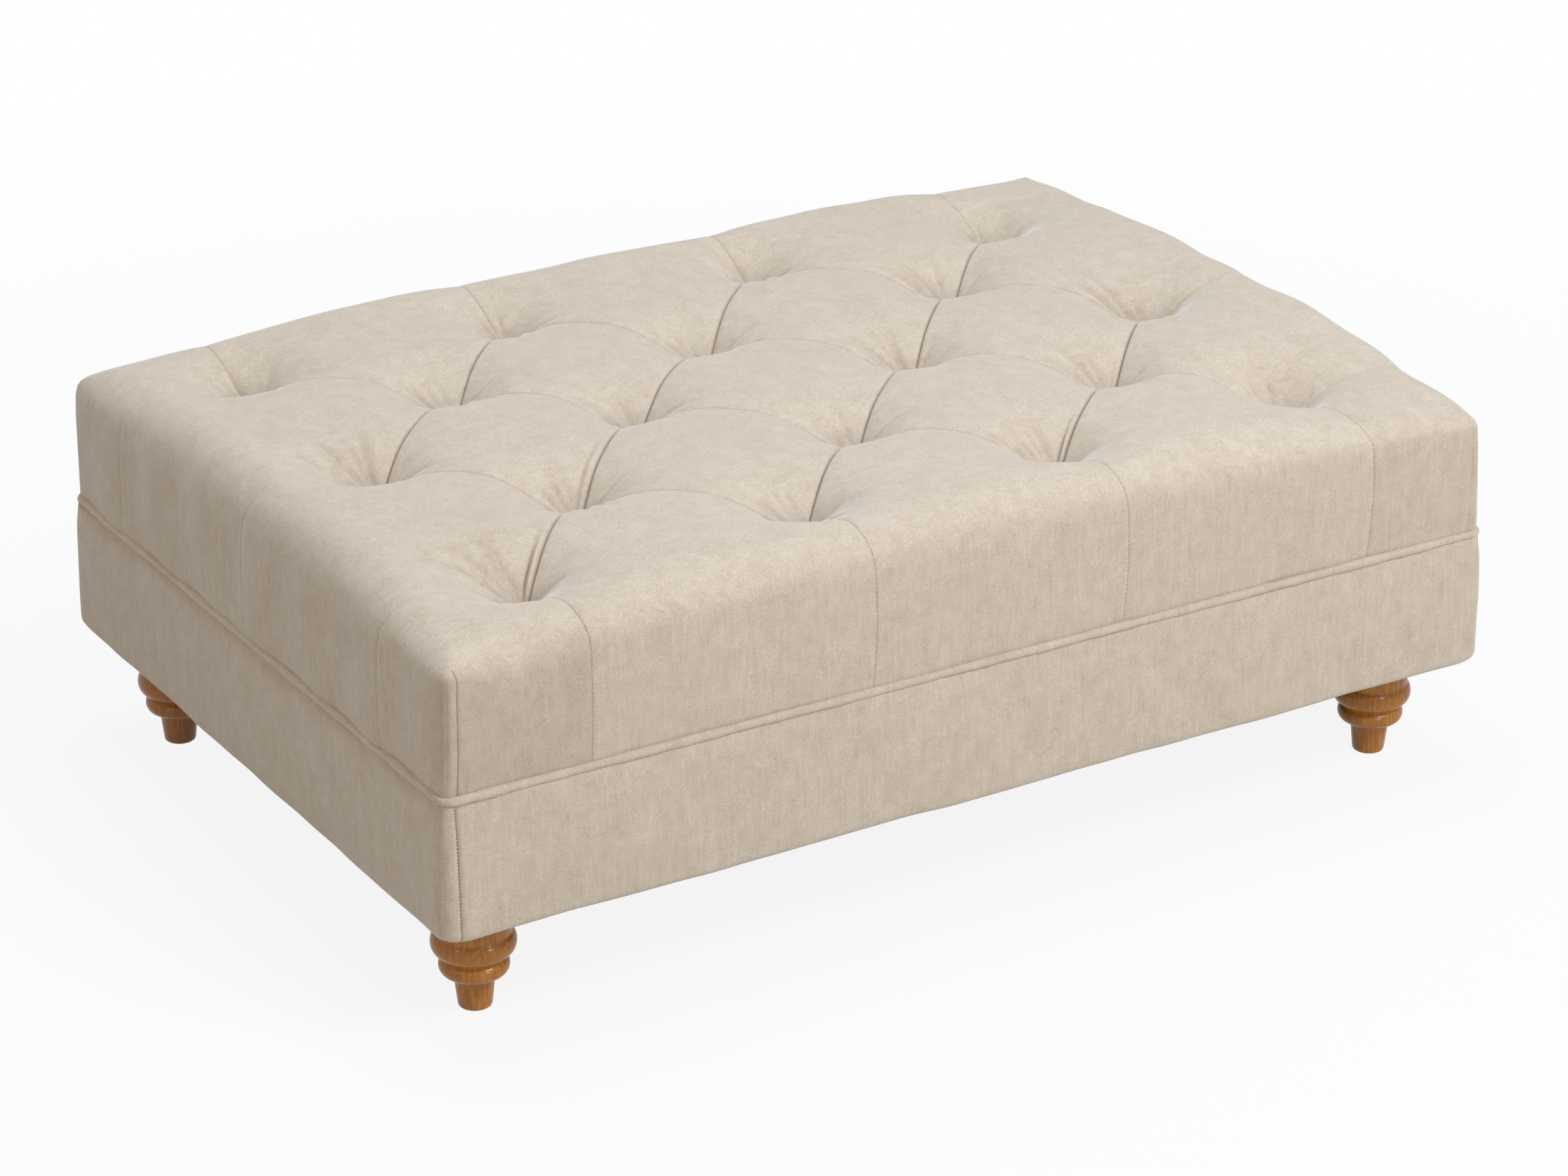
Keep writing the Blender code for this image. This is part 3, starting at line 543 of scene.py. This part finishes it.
# Piping: a bias strip of the velvet sewn round a cord and caught in the seam between seat and base.
# It follows the base's outline; the bias strip puckers slightly and is joined near one corner.
piping_velvet = velvet("beige_cotton_velvet_piping")
cord_level = (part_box("piping")[0][2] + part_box("piping")[1][2]) / 2
cord_radius = 0.0042
cord_inset = 0.0034
cord_corner = 0.011
cord_spacing = 0.0035
cord_sides = 14
join_pinch = 0.0007
join_wide = 0.0022
bias_slant = 0.006
out_of_step = 1.7
cord_path = perimeter(half_x - cord_inset, half_y - cord_inset, cord_corner, cord_spacing)
swell = wander("piping", ((0.19, 0.00018), (0.071, 0.00015), (0.031, 0.00012)))
pucker = wander("bias", ((0.0125, 0.00003), (0.0093, 0.00002)))
join_at = Vector((-half_x + 0.030, -half_y + 0.0045))
bm = bmesh.new()
rings = []
along = 0.0
for index, (spot, out) in enumerate(cord_path):
    if index:
        along += (spot - cord_path[index - 1][0]).length
    pinch = join_pinch * math.exp(-((spot - join_at).length / join_wide) ** 2)
    sway = 0.5 * swell(along + out_of_step)
    ring = []
    for step in range(cord_sides):
        turn = 2 * math.pi * step / cord_sides
        radius = cord_radius + swell(along) + pucker(along + bias_slant * math.cos(turn)) - pinch
        place = spot + out * (radius * math.cos(turn) + sway)
        ring.append(bm.verts.new((place.x, place.y, cord_level + radius * math.sin(turn))))
    rings.append(ring)
for first, second in zip(rings, rings[1:] + rings[:1]):
    for step in range(cord_sides):
        after = (step + 1) % cord_sides
        bm.faces.new((first[step], first[after], second[after], second[step]))
welt = finished_piece("welt_piping", bm, piping_velvet)
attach(welt, "root")
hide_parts("piping")


# Seat cushion: velvet panels sewn along every diamond edge over wadding and foam, pulled down at the tufts.
# Each panel swells like a small pillow; seams dip from tuft to tuft and run over the edges to the piping.
pitch_x = 0.286
pitch_y = 0.135
edge_x = 0.552
edge_y = 0.3835
corner_radius = 0.008
seat_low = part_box("seat_cover")[0][2]
top_level = seat_low + 0.1515

# The stuffing was packed by hand, so the sides and corners differ. The shoulders are ((left, right),
# (front, back)), the corners ((front left, front right), (back left, back right)), the ends (left, right).
shoulder_level = seat_low + np.array(((0.097, 0.099), (0.108, 0.100)))
shoulder_width = np.array(((0.047, 0.042), (0.052, 0.045)))
shoulder_round = np.array(((1.95, 2.2), (1.85, 2.1)))
corner_drop = np.array(((0.031, 0.042), (0.024, 0.022)))
corner_pull = np.array(((0.006, 0.006), (0.005, 0.002)))
corner_width = 0.028
corner_level = seat_low + 0.105
end_swell = np.array((-0.005, 0.004))
# A dart closes each corner, sewn down the long face this share of the way from the last seam to the end.
dart_share = 0.905

# The tufts were tied by hand and stand up to about 25 mm off the regular grid: (along, across), by row.
drift_mm = {-2: ((15, -5), (12, -3), (-6, -9), (-15, 6)),
            -1: ((-2, -8), (4, -7), (2, -14)),
            0: ((11, -5), (-2, 3), (5, -14), (-9, -22)),
            1: ((15, -5), (-4, -18), (-1, -8)),
            2: ((8, -10), (-2, -9), (-2, -3), (-15, -22))}
tuft = {}
for row, drifts in drift_mm.items():
    for place, (along, across) in enumerate(drifts):
        half_step = 2 * place - len(drifts) + 1
        tuft[half_step, row] = (half_step * pitch_x / 2 + along / 1000, row * pitch_y + across / 1000)

# Seams join neighbouring tufts, and edge seams run from the outer tufts to the edge, where some end a
# little aside: along the front, at the left end, and by row at the right end.
lean_front = 0.007
lean_left = 0.010
lean_right = {-2: -0.010}
seams = []
edge_end = {}
for (half_step, row), spot in tuft.items():
    for way in (-1, 1):
        if (half_step + 1, row + way) in tuft:
            seams.append((spot, tuft[half_step + 1, row + way]))
        if row == 2 * way:
            lean = lean_front if way < 0 else 0.0
            edge_end[half_step, row, "long"] = (spot[0] + lean, way * edge_y)
        if half_step == 3 * way:
            lean = lean_left if way < 0 else lean_right.get(row, 0.0)
            edge_end[half_step, row, "short"] = (way * edge_x, spot[1] + lean)
edge_seams = [(tuft[key[:2]], end, key[2]) for key, end in edge_end.items()]


def dart_x(end, way):
    return edge_end[3 * end, 2 * way, "long"][0] * (1 - dart_share) + end * edge_x * dart_share


def panel_patches():
    # Four-sided patches of the sewn panels: corners in plan, the panel's name, and the steps each way, which
    # are close together within gather_share of a tuft, where the cover is gathered, and at a dart.
    gather_share = 0.21
    crowding = 1.3
    close = gather_share * np.linspace(0, 1, 23) ** crowding
    between = np.linspace(gather_share, 1 - gather_share, 15)[1:-1]
    inner = np.concatenate([close, between, 1 - close[::-1]])
    close = 1.4 * gather_share * np.linspace(0, 1, 21) ** crowding
    open_steps = close[-1] + (1 - close[-1]) * (1 - (1 - np.linspace(0, 1, 17)[1:]) ** 1.25)
    open_steps = open_steps[np.abs(open_steps - dart_share) > 0.022]
    dart_steps = dart_share + np.array((-0.016, -0.008, -0.003, 0.0, 0.003, 0.008, 0.016))
    margin = np.sort(np.concatenate([close, open_steps, dart_steps]))
    for k, row in ((-1, 1), (1, 1), (-2, 0), (0, 0), (2, 0), (-1, -1), (1, -1)):
        outline = (tuft[k - 1, row], tuft[k, row - 1], tuft[k + 1, row], tuft[k, row + 1])
        yield outline, (k, row), inner, inner
    for way in (-1, 1):
        for k in (-2, 0, 2):
            for hand in (-1, 1):
                near, far = tuft[k + hand, 2 * way], tuft[k, way]
                outline = (near, far, (far[0], way * edge_y), edge_end[k + hand, 2 * way, "long"])
                yield outline, (k, 3 * way), inner, margin
        for row in (-1, 1):
            for hand in (-1, 1):
                near, far = tuft[3 * way, row + hand], tuft[2 * way, row]
                outline = (near, far, (way * edge_x, far[1]), edge_end[3 * way, row + hand, "short"])
                yield outline, (4 * way, row), inner, margin
        for end in (-1, 1):
            corner = (3 * end, 2 * way)
            outline = (tuft[corner], edge_end[corner + ("long",)], (end * edge_x, way * edge_y),
                       edge_end[corner + ("short",)])
            yield outline, (4 * end, 3 * way), margin, margin


# Each panel is stuffed a little more or less than the next, and a few are cut with their nap turned.
most_lift = 0.0018
turned_nap = {(4, -3): 0.035, (-1, -1): 0.015, (-4, -1): 0.018}
flat = []
quads = []
index_of = {}
panel_lift = {}
lift = []
nap_tone = []
draw = random.Random(11)
for outline, panel, steps_u, steps_v in panel_patches():
    if panel not in panel_lift:
        panel_lift[panel] = draw.uniform(-most_lift, most_lift)
    p = [np.array(point) for point in outline]
    grid = {}
    for i, u in enumerate(steps_u):
        for j, v in enumerate(steps_v):
            spot = (p[0] * (1 - u) + p[1] * u) * (1 - v) + (p[3] * (1 - u) + p[2] * u) * v
            key = (round(spot[0] * 1e6), round(spot[1] * 1e6))
            if key not in index_of:
                index_of[key] = len(flat)
                flat.append((spot[0], spot[1]))
                lift.append(panel_lift[panel])
                nap_tone.append(turned_nap.get(panel, 0.0))
            grid[i, j] = index_of[key]
    first, second = p[1] - p[0], p[3] - p[0]
    upward = first[0] * second[1] - first[1] * second[0] > 0
    for i in range(len(steps_u) - 1):
        for j in range(len(steps_v) - 1):
            quad = (grid[i, j], grid[i + 1, j], grid[i + 1, j + 1], grid[i, j + 1])
            quads.append(quad if upward else quad[::-1])
flat = np.array(flat)
lift = np.array(lift)
nap_tone = np.array(nap_tone)


def rim_order(i):
    # How far round the edge a point lies, from the front left corner.
    x, y = flat[i]
    if abs(y + edge_y) < touching:
        return x + edge_x
    if abs(x - edge_x) < touching:
        return 2 * edge_x + y + edge_y
    if abs(y - edge_y) < touching:
        return 3 * edge_x + 2 * edge_y - x
    return 4 * edge_x + 3 * edge_y - y


# From the rim the sides go down in rings; fall runs from 0 on top to 1 behind the piping.
on_rim = np.abs(np.abs(flat) - (edge_x, edge_y)).min(axis=1) < touching
rim = sorted(np.nonzero(on_rim)[0].tolist(), key=rim_order)
side_rings = 12
rings = [rim]
for level in range(side_rings):
    start = len(flat) + level * len(rim)
    rings.append(list(range(start, start + len(rim))))
    for k in range(len(rim)):
        after = (k + 1) % len(rim)
        quads.append((rings[-2][k], rings[-1][k], rings[-1][after], rings[-2][after]))
ring_falls = [np.full(len(rim), (n + 1) / side_rings) for n in range(side_rings)]
fall = np.concatenate([np.zeros(len(flat))] + ring_falls)
lift = np.concatenate([lift] + [lift[rim]] * side_rings)
nap_tone = np.concatenate([nap_tone] + [nap_tone[rim]] * side_rings)
flat = np.concatenate([flat] + [flat[rim]] * side_rings)
quads = np.array(quads)
X, Y = flat[:, 0], flat[:, 1]
on_side = fall > 0


def bell(gap, wide):
    # A bell of 1 on a line or at a point, gone at about twice wide.
    return np.exp(-(gap / wide) ** 2)


def stuffed_shape():
    # The cushion without its tufts: a flat top, sloping shoulders and sides that tuck in above the piping.
    share_x = np.minimum(1, np.abs(X) / edge_x)
    share_y = np.minimum(1, np.abs(Y) / edge_y)
    near = share_x * share_y
    end, long = (X > 0).astype(int), (Y > 0).astype(int)
    level = top_level - corner_drop[long, end] * near ** 2.4
    level = level + end_swell[end] * share_x ** 10
    # turn goes from 0 at the edge to 1 where the shoulder meets the top, and blends the sides at a corner;
    # lean says how much of a point belongs to the end, and the rest belongs to the long side.
    blend = 24
    narrow = corner_width + (shoulder_width - corner_width)[:, :, None] * (1 - near ** 5)
    turn_x = (edge_x - np.abs(X)) / np.where(end, narrow[0, 1], narrow[0, 0])
    turn_y = (edge_y - np.abs(Y)) / np.where(long, narrow[1, 1], narrow[1, 0])
    turn = np.clip(-np.log(np.exp(-blend * turn_x) + np.exp(-blend * turn_y)) / blend, 0, 1)
    lean = 1 / (1 + np.exp(np.clip(8 * (turn_x - turn_y), -50, 50)))
    # The front's shoulder is softer next to the left corner.
    soft_front = 0.030 * bell(X + 0.475, 0.055) * (1 - long)
    low = shoulder_level[0][end] * lean + (shoulder_level[1][long] - soft_front) * (1 - lean)
    low = low + (corner_level - low) * near ** 8
    bend = shoulder_round[0][end] * lean + shoulder_round[1][long] * (1 - lean)
    Z = low + (level - low) * (1 - (1 - turn) ** bend) ** (1 / bend)
    Z = np.where(on_side, low + (seat_low - 0.005 - low) * fall, Z)
    # The sides belly out, tuck in at the piping and round the corners.
    outwards = np.interp(fall, (0, 0.2, 0.5, 0.7, 0.85, 1.0), (0.0, 0.001, 0.0012, 0.001, 0.0005, -0.0008))
    inner_x = edge_x - corner_radius
    inner_y = edge_y - corner_radius
    over_x = np.abs(X) - inner_x
    over_y = np.abs(Y) - inner_y
    rounding = (over_x > 0) & (over_y > 0)
    scale = np.maximum(over_x, over_y) / np.maximum(1e-9, np.hypot(over_x, over_y))
    PX = np.where(rounding, np.sign(X) * (inner_x + over_x * scale), X) * (1 + outwards / edge_x)
    PY = np.where(rounding, np.sign(Y) * (inner_y + over_y * scale), Y) * (1 + outwards / edge_y)
    # The cover slipped a few millimetres to the left and the front, most above the piping, and each corner
    # is drawn in by its dart.
    slip = np.clip((fall - 0.35) / 0.65, 0, 1) ** 1.5
    drawn_in = corner_pull[long, end] * share_x ** 20 * share_y ** 12 * (1 - fall ** 4)
    PX = PX - 0.0015 * share_x ** 4 - 0.004 * slip * (1 - share_x ** 8) - np.sign(X) * drawn_in
    PY = PY - 0.006 * slip * (1 - share_y ** 8)
    return np.stack([PX, PY, Z], 1)


def normals_of(points):
    face = np.cross(points[quads[:, 2]] - points[quads[:, 0]], points[quads[:, 3]] - points[quads[:, 1]])
    total = np.zeros_like(points)
    for corner in range(4):
        np.add.at(total, quads[:, corner], face)
    return total / np.maximum(1e-12, np.linalg.norm(total, axis=1))[:, None]


def seam_gap(start, end):
    # Each point's distance from a seam, its share of the way along, and the seam's length.
    run_x, run_y = end[0] - start[0], end[1] - start[1]
    length = math.hypot(run_x, run_y)
    share = np.clip(((X - start[0]) * run_x + (Y - start[1]) * run_y) / length ** 2, 0, 1)
    return np.hypot(X - start[0] - run_x * share, Y - start[1] - run_y * share), share, length


def tuft_pull():
    # How far the twine and the seams hold the cover below the stuffed shape, and how much painted shade
    # darkens the pile in the pits, along the seams and down the darts.
    funnel = np.zeros(len(X))
    painted_shade = np.zeros(len(X))
    # A broad funnel, a bowl a little to the left that is wider at the back, and a sharp pit at the knot.
    bowl_deep = 0.026
    deeper = {(3, -2): 0.008, (3, 0): 0.006, (3, 2): 0.008, (-3, 2): 0.004}
    bowl_wide = 0.034
    bowl_aside = 0.007
    for key, (x, y) in tuft.items():
        away = np.hypot(X - x, Y - y)
        funnel += 0.012 * np.exp(-(away / 0.075) ** 1.4) + 0.006 * np.exp(-away / 0.009)
        bowl = np.hypot(X - x + bowl_aside, Y - y)
        reach = 1.2 + 0.3 * (Y - y) / np.maximum(1e-9, bowl)
        funnel += (bowl_deep + deeper.get(key, 0.0)) * bell(bowl, bowl_wide * reach)
        # Painted shade darkens the pile in the bowl, most at the knot.
        painted_shade = np.maximum(painted_shade, 0.27 * bell(bowl, 0.021) + 0.34 * bell(away, 0.008))
    # Along a seam the panels dip, most at its tufts, and meet in a crease, which carries a line of painted
    # shade. The creases that run back to the right are pulled tight, sunk deepest and get the darkest painted
    # shade; the others and the edge seams lie shallow and get less.
    dip = 0.003
    dip_at_tuft = 0.005
    dip_wide = 0.015
    crease_wide = 0.0010
    shade_line_wide = 0.0009
    broad = np.zeros(len(X))
    crease = np.zeros(len(X))
    nearest = np.full(len(X), 1.0)
    held = []
    for start, end in seams:
        gap, share, length = seam_gap(start, end)
        depth = dip + dip_at_tuft * np.exp(-length * np.minimum(share, 1 - share) / 0.032)
        held.append((gap, depth, (0.0042, 0.52) if end[1] > start[1] else (0.0018, 0.14)))
    for start, end, face in edge_seams:
        gap, share, length = seam_gap(start, end)
        depth = (dip + dip_at_tuft * np.exp(-share * length / 0.030)) * (1 - 0.8 * share)
        held.append((gap, depth, (0.0007, 0.16) if face == "long" else (0.0005, 0.12)))
    for gap, depth, (sunk, dark) in held:
        broad += (depth * np.exp(-gap / dip_wide)) ** 4
        crease = np.maximum(crease, sunk * np.exp(-gap / crease_wide))
        painted_shade = np.maximum(painted_shade, dark * bell(gap, shade_line_wide))
        nearest = np.minimum(nearest, gap)
    pull = (funnel + broad ** 0.25) * (1 - fall) ** 1.5 + crease
    # Each dart is a crease down the corner, with a line of painted shade, and a small ear of cloth at its
    # top; the right ones are shallower, with fainter painted shade, and hardly show.
    for end in (-1, 1):
        for way in (-1, 1):
            aside = X - dart_x(end, way)
            inward = edge_y - way * Y
            dart_gap = np.abs(aside) + np.maximum(0, inward - 0.006)
            sunk, dark = (0.0012, 0.30) if end < 0 else (0.0004, 0.12)
            pull = pull + sunk * np.exp(-dart_gap / shade_line_wide)
            painted_shade = np.maximum(painted_shade, dark * bell(dart_gap, shade_line_wide))
            ear = np.exp(-((aside / 0.006) ** 2 + (inward / 0.007) ** 2 + (fall / 0.07) ** 2))
            pull = pull - 0.0008 * ear
    return pull - lift * (1 - bell(nearest, 0.03)) * (1 - 0.7 * fall), painted_shade


def wrinkles():
    # Short creases that fan out of the tufts where the cover is gathered, a fold beside some of the seams,
    # and soft lumps in the stuffing; and the painted shade that darkens the pile along the creases and folds.
    draw = random.Random(23)
    total = np.zeros(len(X))
    painted_fold_shade = np.zeros(len(X))

    def lie_along(x, y, turn):
        # Each point's place along and across a line out of a tuft.
        return ((X - x) * math.cos(turn) + (Y - y) * math.sin(turn),
                -(X - x) * math.sin(turn) + (Y - y) * math.cos(turn))

    def gather(x, y, turn, reach, bend):
        # One crease out of a tuft, bending a little: its groove and crest, and its core, where painted shade
        # goes.
        begin = 0.006
        along, across = lie_along(x, y, turn)
        across = across + bend * along ** 2
        wide = 0.0022 + 0.046 * np.maximum(0, along)
        fade = np.sin(np.pi * np.clip((along - begin) / (reach - begin), 0, 1) ** 0.7) * ~on_side
        crest = 0.5 * bell(across / wide - 1.7, 1)
        return fade * (bell(across, wide) - crest), fade * bell(across, 0.7 * wide)

    # Most tufts have three gathers behind them and some have more; the others point any way. At the right
    # front tuft these are calm, and three clear ones lie behind it: (angle, reach, depth).
    gathered = {(-3, -2): 5, (3, -2): 5, (-3, 0): 5, (2, -1): 4, (3, 0): 5, (2, 1): 4, (1, -2): 4, (1, 0): 4}
    calm = {(3, -2): 0.3}
    clear = ((62, 0.060, 0.0030), (88, 0.070, 0.0040), (112, 0.060, 0.0028))
    for key, (x, y) in tuft.items():
        folds = gathered.get(key, 3)
        strength = 0.42 + 0.18 * (folds - 2)
        fans = [(72 + 62 * (n + 0.2 + 0.6 * draw.random()) / folds, strength) for n in range(folds)]
        fans += [(draw.uniform(90, 125), 0.6), (draw.uniform(150, 210), 0.7), (draw.uniform(150, 210), 0.6),
                 (draw.uniform(-30, 30), 0.6), (draw.uniform(240, 300), 0.6), (draw.uniform(240, 300), 0.6)]
        for angle, part in fans:
            part = part * calm.get(key, 1.0)
            reach = part * draw.uniform(0.075, 0.115)
            deep = part * draw.uniform(0.0022, 0.0040)
            groove, shaded_core = gather(x, y, math.radians(angle), reach, draw.uniform(-2.5, 2.5))
            total += deep * groove
            # Painted shade along the crease's core.
            painted_fold_shade = np.maximum(painted_fold_shade, 0.24 * part * shaded_core)
    for angle, reach, deep in clear:
        groove, shaded_core = gather(*tuft[3, -2], math.radians(angle), reach, 1.5)
        total += deep * groove
        # Painted shade along the crease's core.
        painted_fold_shade = np.maximum(painted_fold_shade, 70 * deep * shaded_core)
    # Folds beside the seams that run back to the right from a tuft: (tuft, reach, distance aside, depth).
    for key, reach, aside, deep in (((-3, -2), 0.090, 0.0080, 0.0044), ((1, -2), 0.075, 0.0065, 0.0042),
                                    ((-2, -1), 0.120, 0.0090, 0.0022), ((2, -1), 0.045, 0.0070, 0.0014)):
        x, y = tuft[key]
        goal = tuft[key[0] + 1, key[1] + 1]
        along, across = lie_along(x, y, math.atan2(goal[1] - y, goal[0] - x))
        fade = np.sin(np.pi * np.clip(along / reach, 0, 1) ** 0.7)
        beside = aside * (1 - np.exp(-np.maximum(0, along) / 0.012))
        fold = bell(across - beside, 0.0017) - 0.55 * bell(across - 0.5 * beside, 0.0022)
        total += deep * fade * fold
        # Painted shade along the fold.
        painted_fold_shade = np.maximum(painted_fold_shade, 95 * deep * fade * bell(across - beside, 0.0014))
    lumps = 14
    lump_height = 0.00022
    for _ in range(lumps):
        turn = draw.uniform(0, full_turn)
        rate = 2 * math.pi / draw.uniform(0.07, 0.17)
        tilt = draw.uniform(-0.6, 0.6)
        phase = rate * (X * math.cos(turn) + Y * math.sin(turn) + tilt * 0.1 * fall)
        total += lump_height * np.sin(phase + draw.uniform(0, full_turn))
    return total, painted_fold_shade


points = stuffed_shape()
pull, painted_shade = tuft_pull()
creased, painted_fold_shade = wrinkles()
points = points - normals_of(points) * (pull + creased)[:, None]
# The near corner's panel is browner on its front face and over the last 14 mm of its top before the front
# edge.
on_corner = (X < edge_end[-3, -2, "long"][0]) & (Y < edge_end[-3, -2, "short"][1])
nap_tone = nap_tone + 0.14 * on_corner * np.clip(1 - (edge_y + Y) / 0.014, 0, 1)
# Painted shade in the pits, seams, darts and creases is added to the panels' nap tone.
nap_tone = nap_tone + np.maximum(painted_shade, painted_fold_shade)

cushion_velvet = velvet("beige_cotton_velvet_seat")
mesh = bpy.data.meshes.new("tufted_seat")
mesh.from_pydata(points.tolist(), [], quads.tolist() + [rings[-1][::-1]])
mesh.update()
mesh.shade_smooth()
mesh.materials.append(cushion_velvet)
mesh.attributes.new("nap_tone", "FLOAT", "POINT").data.foreach_set("value", nap_tone)
seat = bpy.data.objects.new("tufted_seat", mesh)
bpy.context.scene.collection.objects.link(seat)
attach(seat, "root")
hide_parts("seat_cover", "wadding_layer", "foam_pad")


# Seat stitching: the lockstitch that shows where seams run over the long edges and down the faces, and in
# the left darts. Polyester thread again, in a lighter brown, about 4 mm a stitch; the end seams and the right
# darts hide theirs.
seam_stitch = {"pitch": 0.0043, "length": 0.0017, "radius": 0.00024}
dart_stitch = {"pitch": 0.0050, "length": 0.0017, "radius": 0.00022}
stitched_from = 0.028
outward = normals_of(points)
bm = bmesh.new()
rim_place = {i: k for k, i in enumerate(rim)}
for start, end, face in edge_seams:
    if face == "short":
        continue
    gap, share, length = seam_gap(start, end)
    chain = list(np.nonzero((gap < 1e-7) & ~on_side & (share * length > stitched_from))[0])
    chain.sort(key=lambda i: share[i])
    column = rim_place[chain[-1]]
    chain += [ring[column] for ring in rings[1:-1]]
    lay_stitches(bm, [(Vector(points[i]), Vector(outward[i])) for i in chain], **seam_stitch)
for way in (-1, 1):
    dart_top = np.array((dart_x(-1, way), way * edge_y))
    column = int(np.abs(flat[rim] - dart_top).sum(axis=1).argmin())
    chain = [ring[column] for ring in rings[1:-1]]
    lay_stitches(bm, [(Vector(points[i]), Vector(outward[i])) for i in chain], **dart_stitch)
seat_thread = thread_finish("light_brown_polyester_thread", ((0.2, "#8a735b"), (0.8, "#a38b72")))
thread_piece("seat_stitching", bm, seat_thread)


# Studio: a white sweep under soft lamps, and the camera where the photograph was taken from.
# The floor and the world read white to the camera, while lamps and a dim sky light the bench.
def seen_directly(tree):
    # 1 for rays from the camera, from gloss and through glass, and 0 for those that only light the bench.
    ray = add(tree, "ShaderNodeLightPath", {})
    shown = add(tree, "ShaderNodeMath",
                {0: ray.outputs["Is Glossy Ray"], 1: ray.outputs["Is Transmission Ray"]},
                operation="MAXIMUM")
    seen = add(tree, "ShaderNodeMath",
               {0: ray.outputs["Is Camera Ray"], 1: shown.outputs["Value"]}, operation="MAXIMUM")
    return seen.outputs["Value"]


floor_half = 14.0
floor_mesh = bpy.data.meshes.new("studio_floor")
floor_mesh.from_pydata([(-floor_half, -floor_half, 0), (floor_half, -floor_half, 0),
                        (floor_half, floor_half, 0), (-floor_half, floor_half, 0)], [], [(0, 1, 2, 3)])
floor = bpy.data.objects.new("studio_floor", floor_mesh)
bpy.context.scene.collection.objects.link(floor)
# Matt white paper, which keeps a part of the bench's shadow near it and fades to plain white further out.
paper, tree = new_finish("white_studio_paper")
seen = seen_directly(tree)
matt = add(tree, "ShaderNodeBsdfDiffuse", {"Color": linear("#d0d0d0")})
glow = add(tree, "ShaderNodeEmission", {"Color": (1, 1, 1, 1), "Strength": 1.0})
place = add(tree, "ShaderNodeTexCoord", {})
away = add(tree, "ShaderNodeVectorMath", {0: place.outputs["Object"]}, operation="LENGTH")
share = add(tree, "ShaderNodeMapRange",
            {"Value": away.outputs["Value"], "From Min": 0.7, "From Max": 2.2, "To Min": 0.89,
             "To Max": 1.0})
part = add(tree, "ShaderNodeMath", {0: seen, 1: share.outputs["Result"]}, operation="MULTIPLY")
sheet = add(tree, "ShaderNodeMixShader",
            {"Fac": part.outputs["Value"], 1: matt.outputs["BSDF"], 2: glow.outputs["Emission"]})
add(tree, "ShaderNodeOutputMaterial", {"Surface": sheet.outputs["Shader"]})
floor_mesh.materials.append(paper)

world = bpy.data.worlds.new("studio")
bpy.context.scene.world = world
world.use_nodes = True
tree = world.node_tree
sky = tree.nodes["Background"]
seen = seen_directly(tree)
strength = add(tree, "ShaderNodeMapRange", {"Value": seen, "To Min": 0.37, "To Max": 1.0})
warm = add(tree, "ShaderNodeMix", {"Factor": seen, 6: linear("#ffecd0"), 7: (1, 1, 1, 1)}, data_type="RGBA")
tree.links.new(strength.outputs["Result"], sky.inputs["Strength"])
tree.links.new(warm.outputs[2], sky.inputs["Color"])

lamp_aim = Vector((0, 0, 0.3))


def lamp(name, place, size, watts, tint):
    data = bpy.data.lights.new(name, "AREA")
    data.size = size
    data.energy = watts
    data.color = linear(tint)[:3]
    light = bpy.data.objects.new(name, data)
    light.location = place
    light.rotation_euler = (Vector(place) - lamp_aim).to_track_quat("Z", "Y").to_euler()
    bpy.context.scene.collection.objects.link(light)


lamp("key_softbox", (1.4, -3.3, 4.0), 1.8, 186, "#e2edff")
lamp("top_softbox", (-0.2, 0.8, 4.6), 2.4, 124, "#d2e7ff")
lamp("front_softbox", (0.35, -2.7, 1.2), 0.55, 10.0, "#ffffff")
lamp("side_softbox", (-2.85, -1.12, 1.1), 0.5, 3.6, "#fff2e2")

# The camera's angles, aim, distance and focal length, in pixels, were fitted to the photograph.
azimuth = math.radians(-31.18)
elevation = math.radians(24.243)
camera_aim = Vector((-0.0874, -0.1654, 0.25))
camera_distance = 4.3258
focal_pixels = 6635.6
photo_width = 2212
sensor_mm = 36.0
level_run = math.cos(elevation)
back = Vector((math.sin(azimuth) * level_run, -math.cos(azimuth) * level_run, math.sin(elevation)))
camera_data = bpy.data.cameras.new("photograph_camera")
camera_data.sensor_width = sensor_mm
camera_data.lens = sensor_mm * focal_pixels / photo_width
camera = bpy.data.objects.new("photograph_camera", camera_data)
camera.location = camera_aim + back * camera_distance
camera.rotation_euler = back.to_track_quat("Z", "Y").to_euler()
bpy.context.scene.collection.objects.link(camera)
bpy.context.scene.camera = camera
bpy.context.scene.view_settings.view_transform = "Standard"
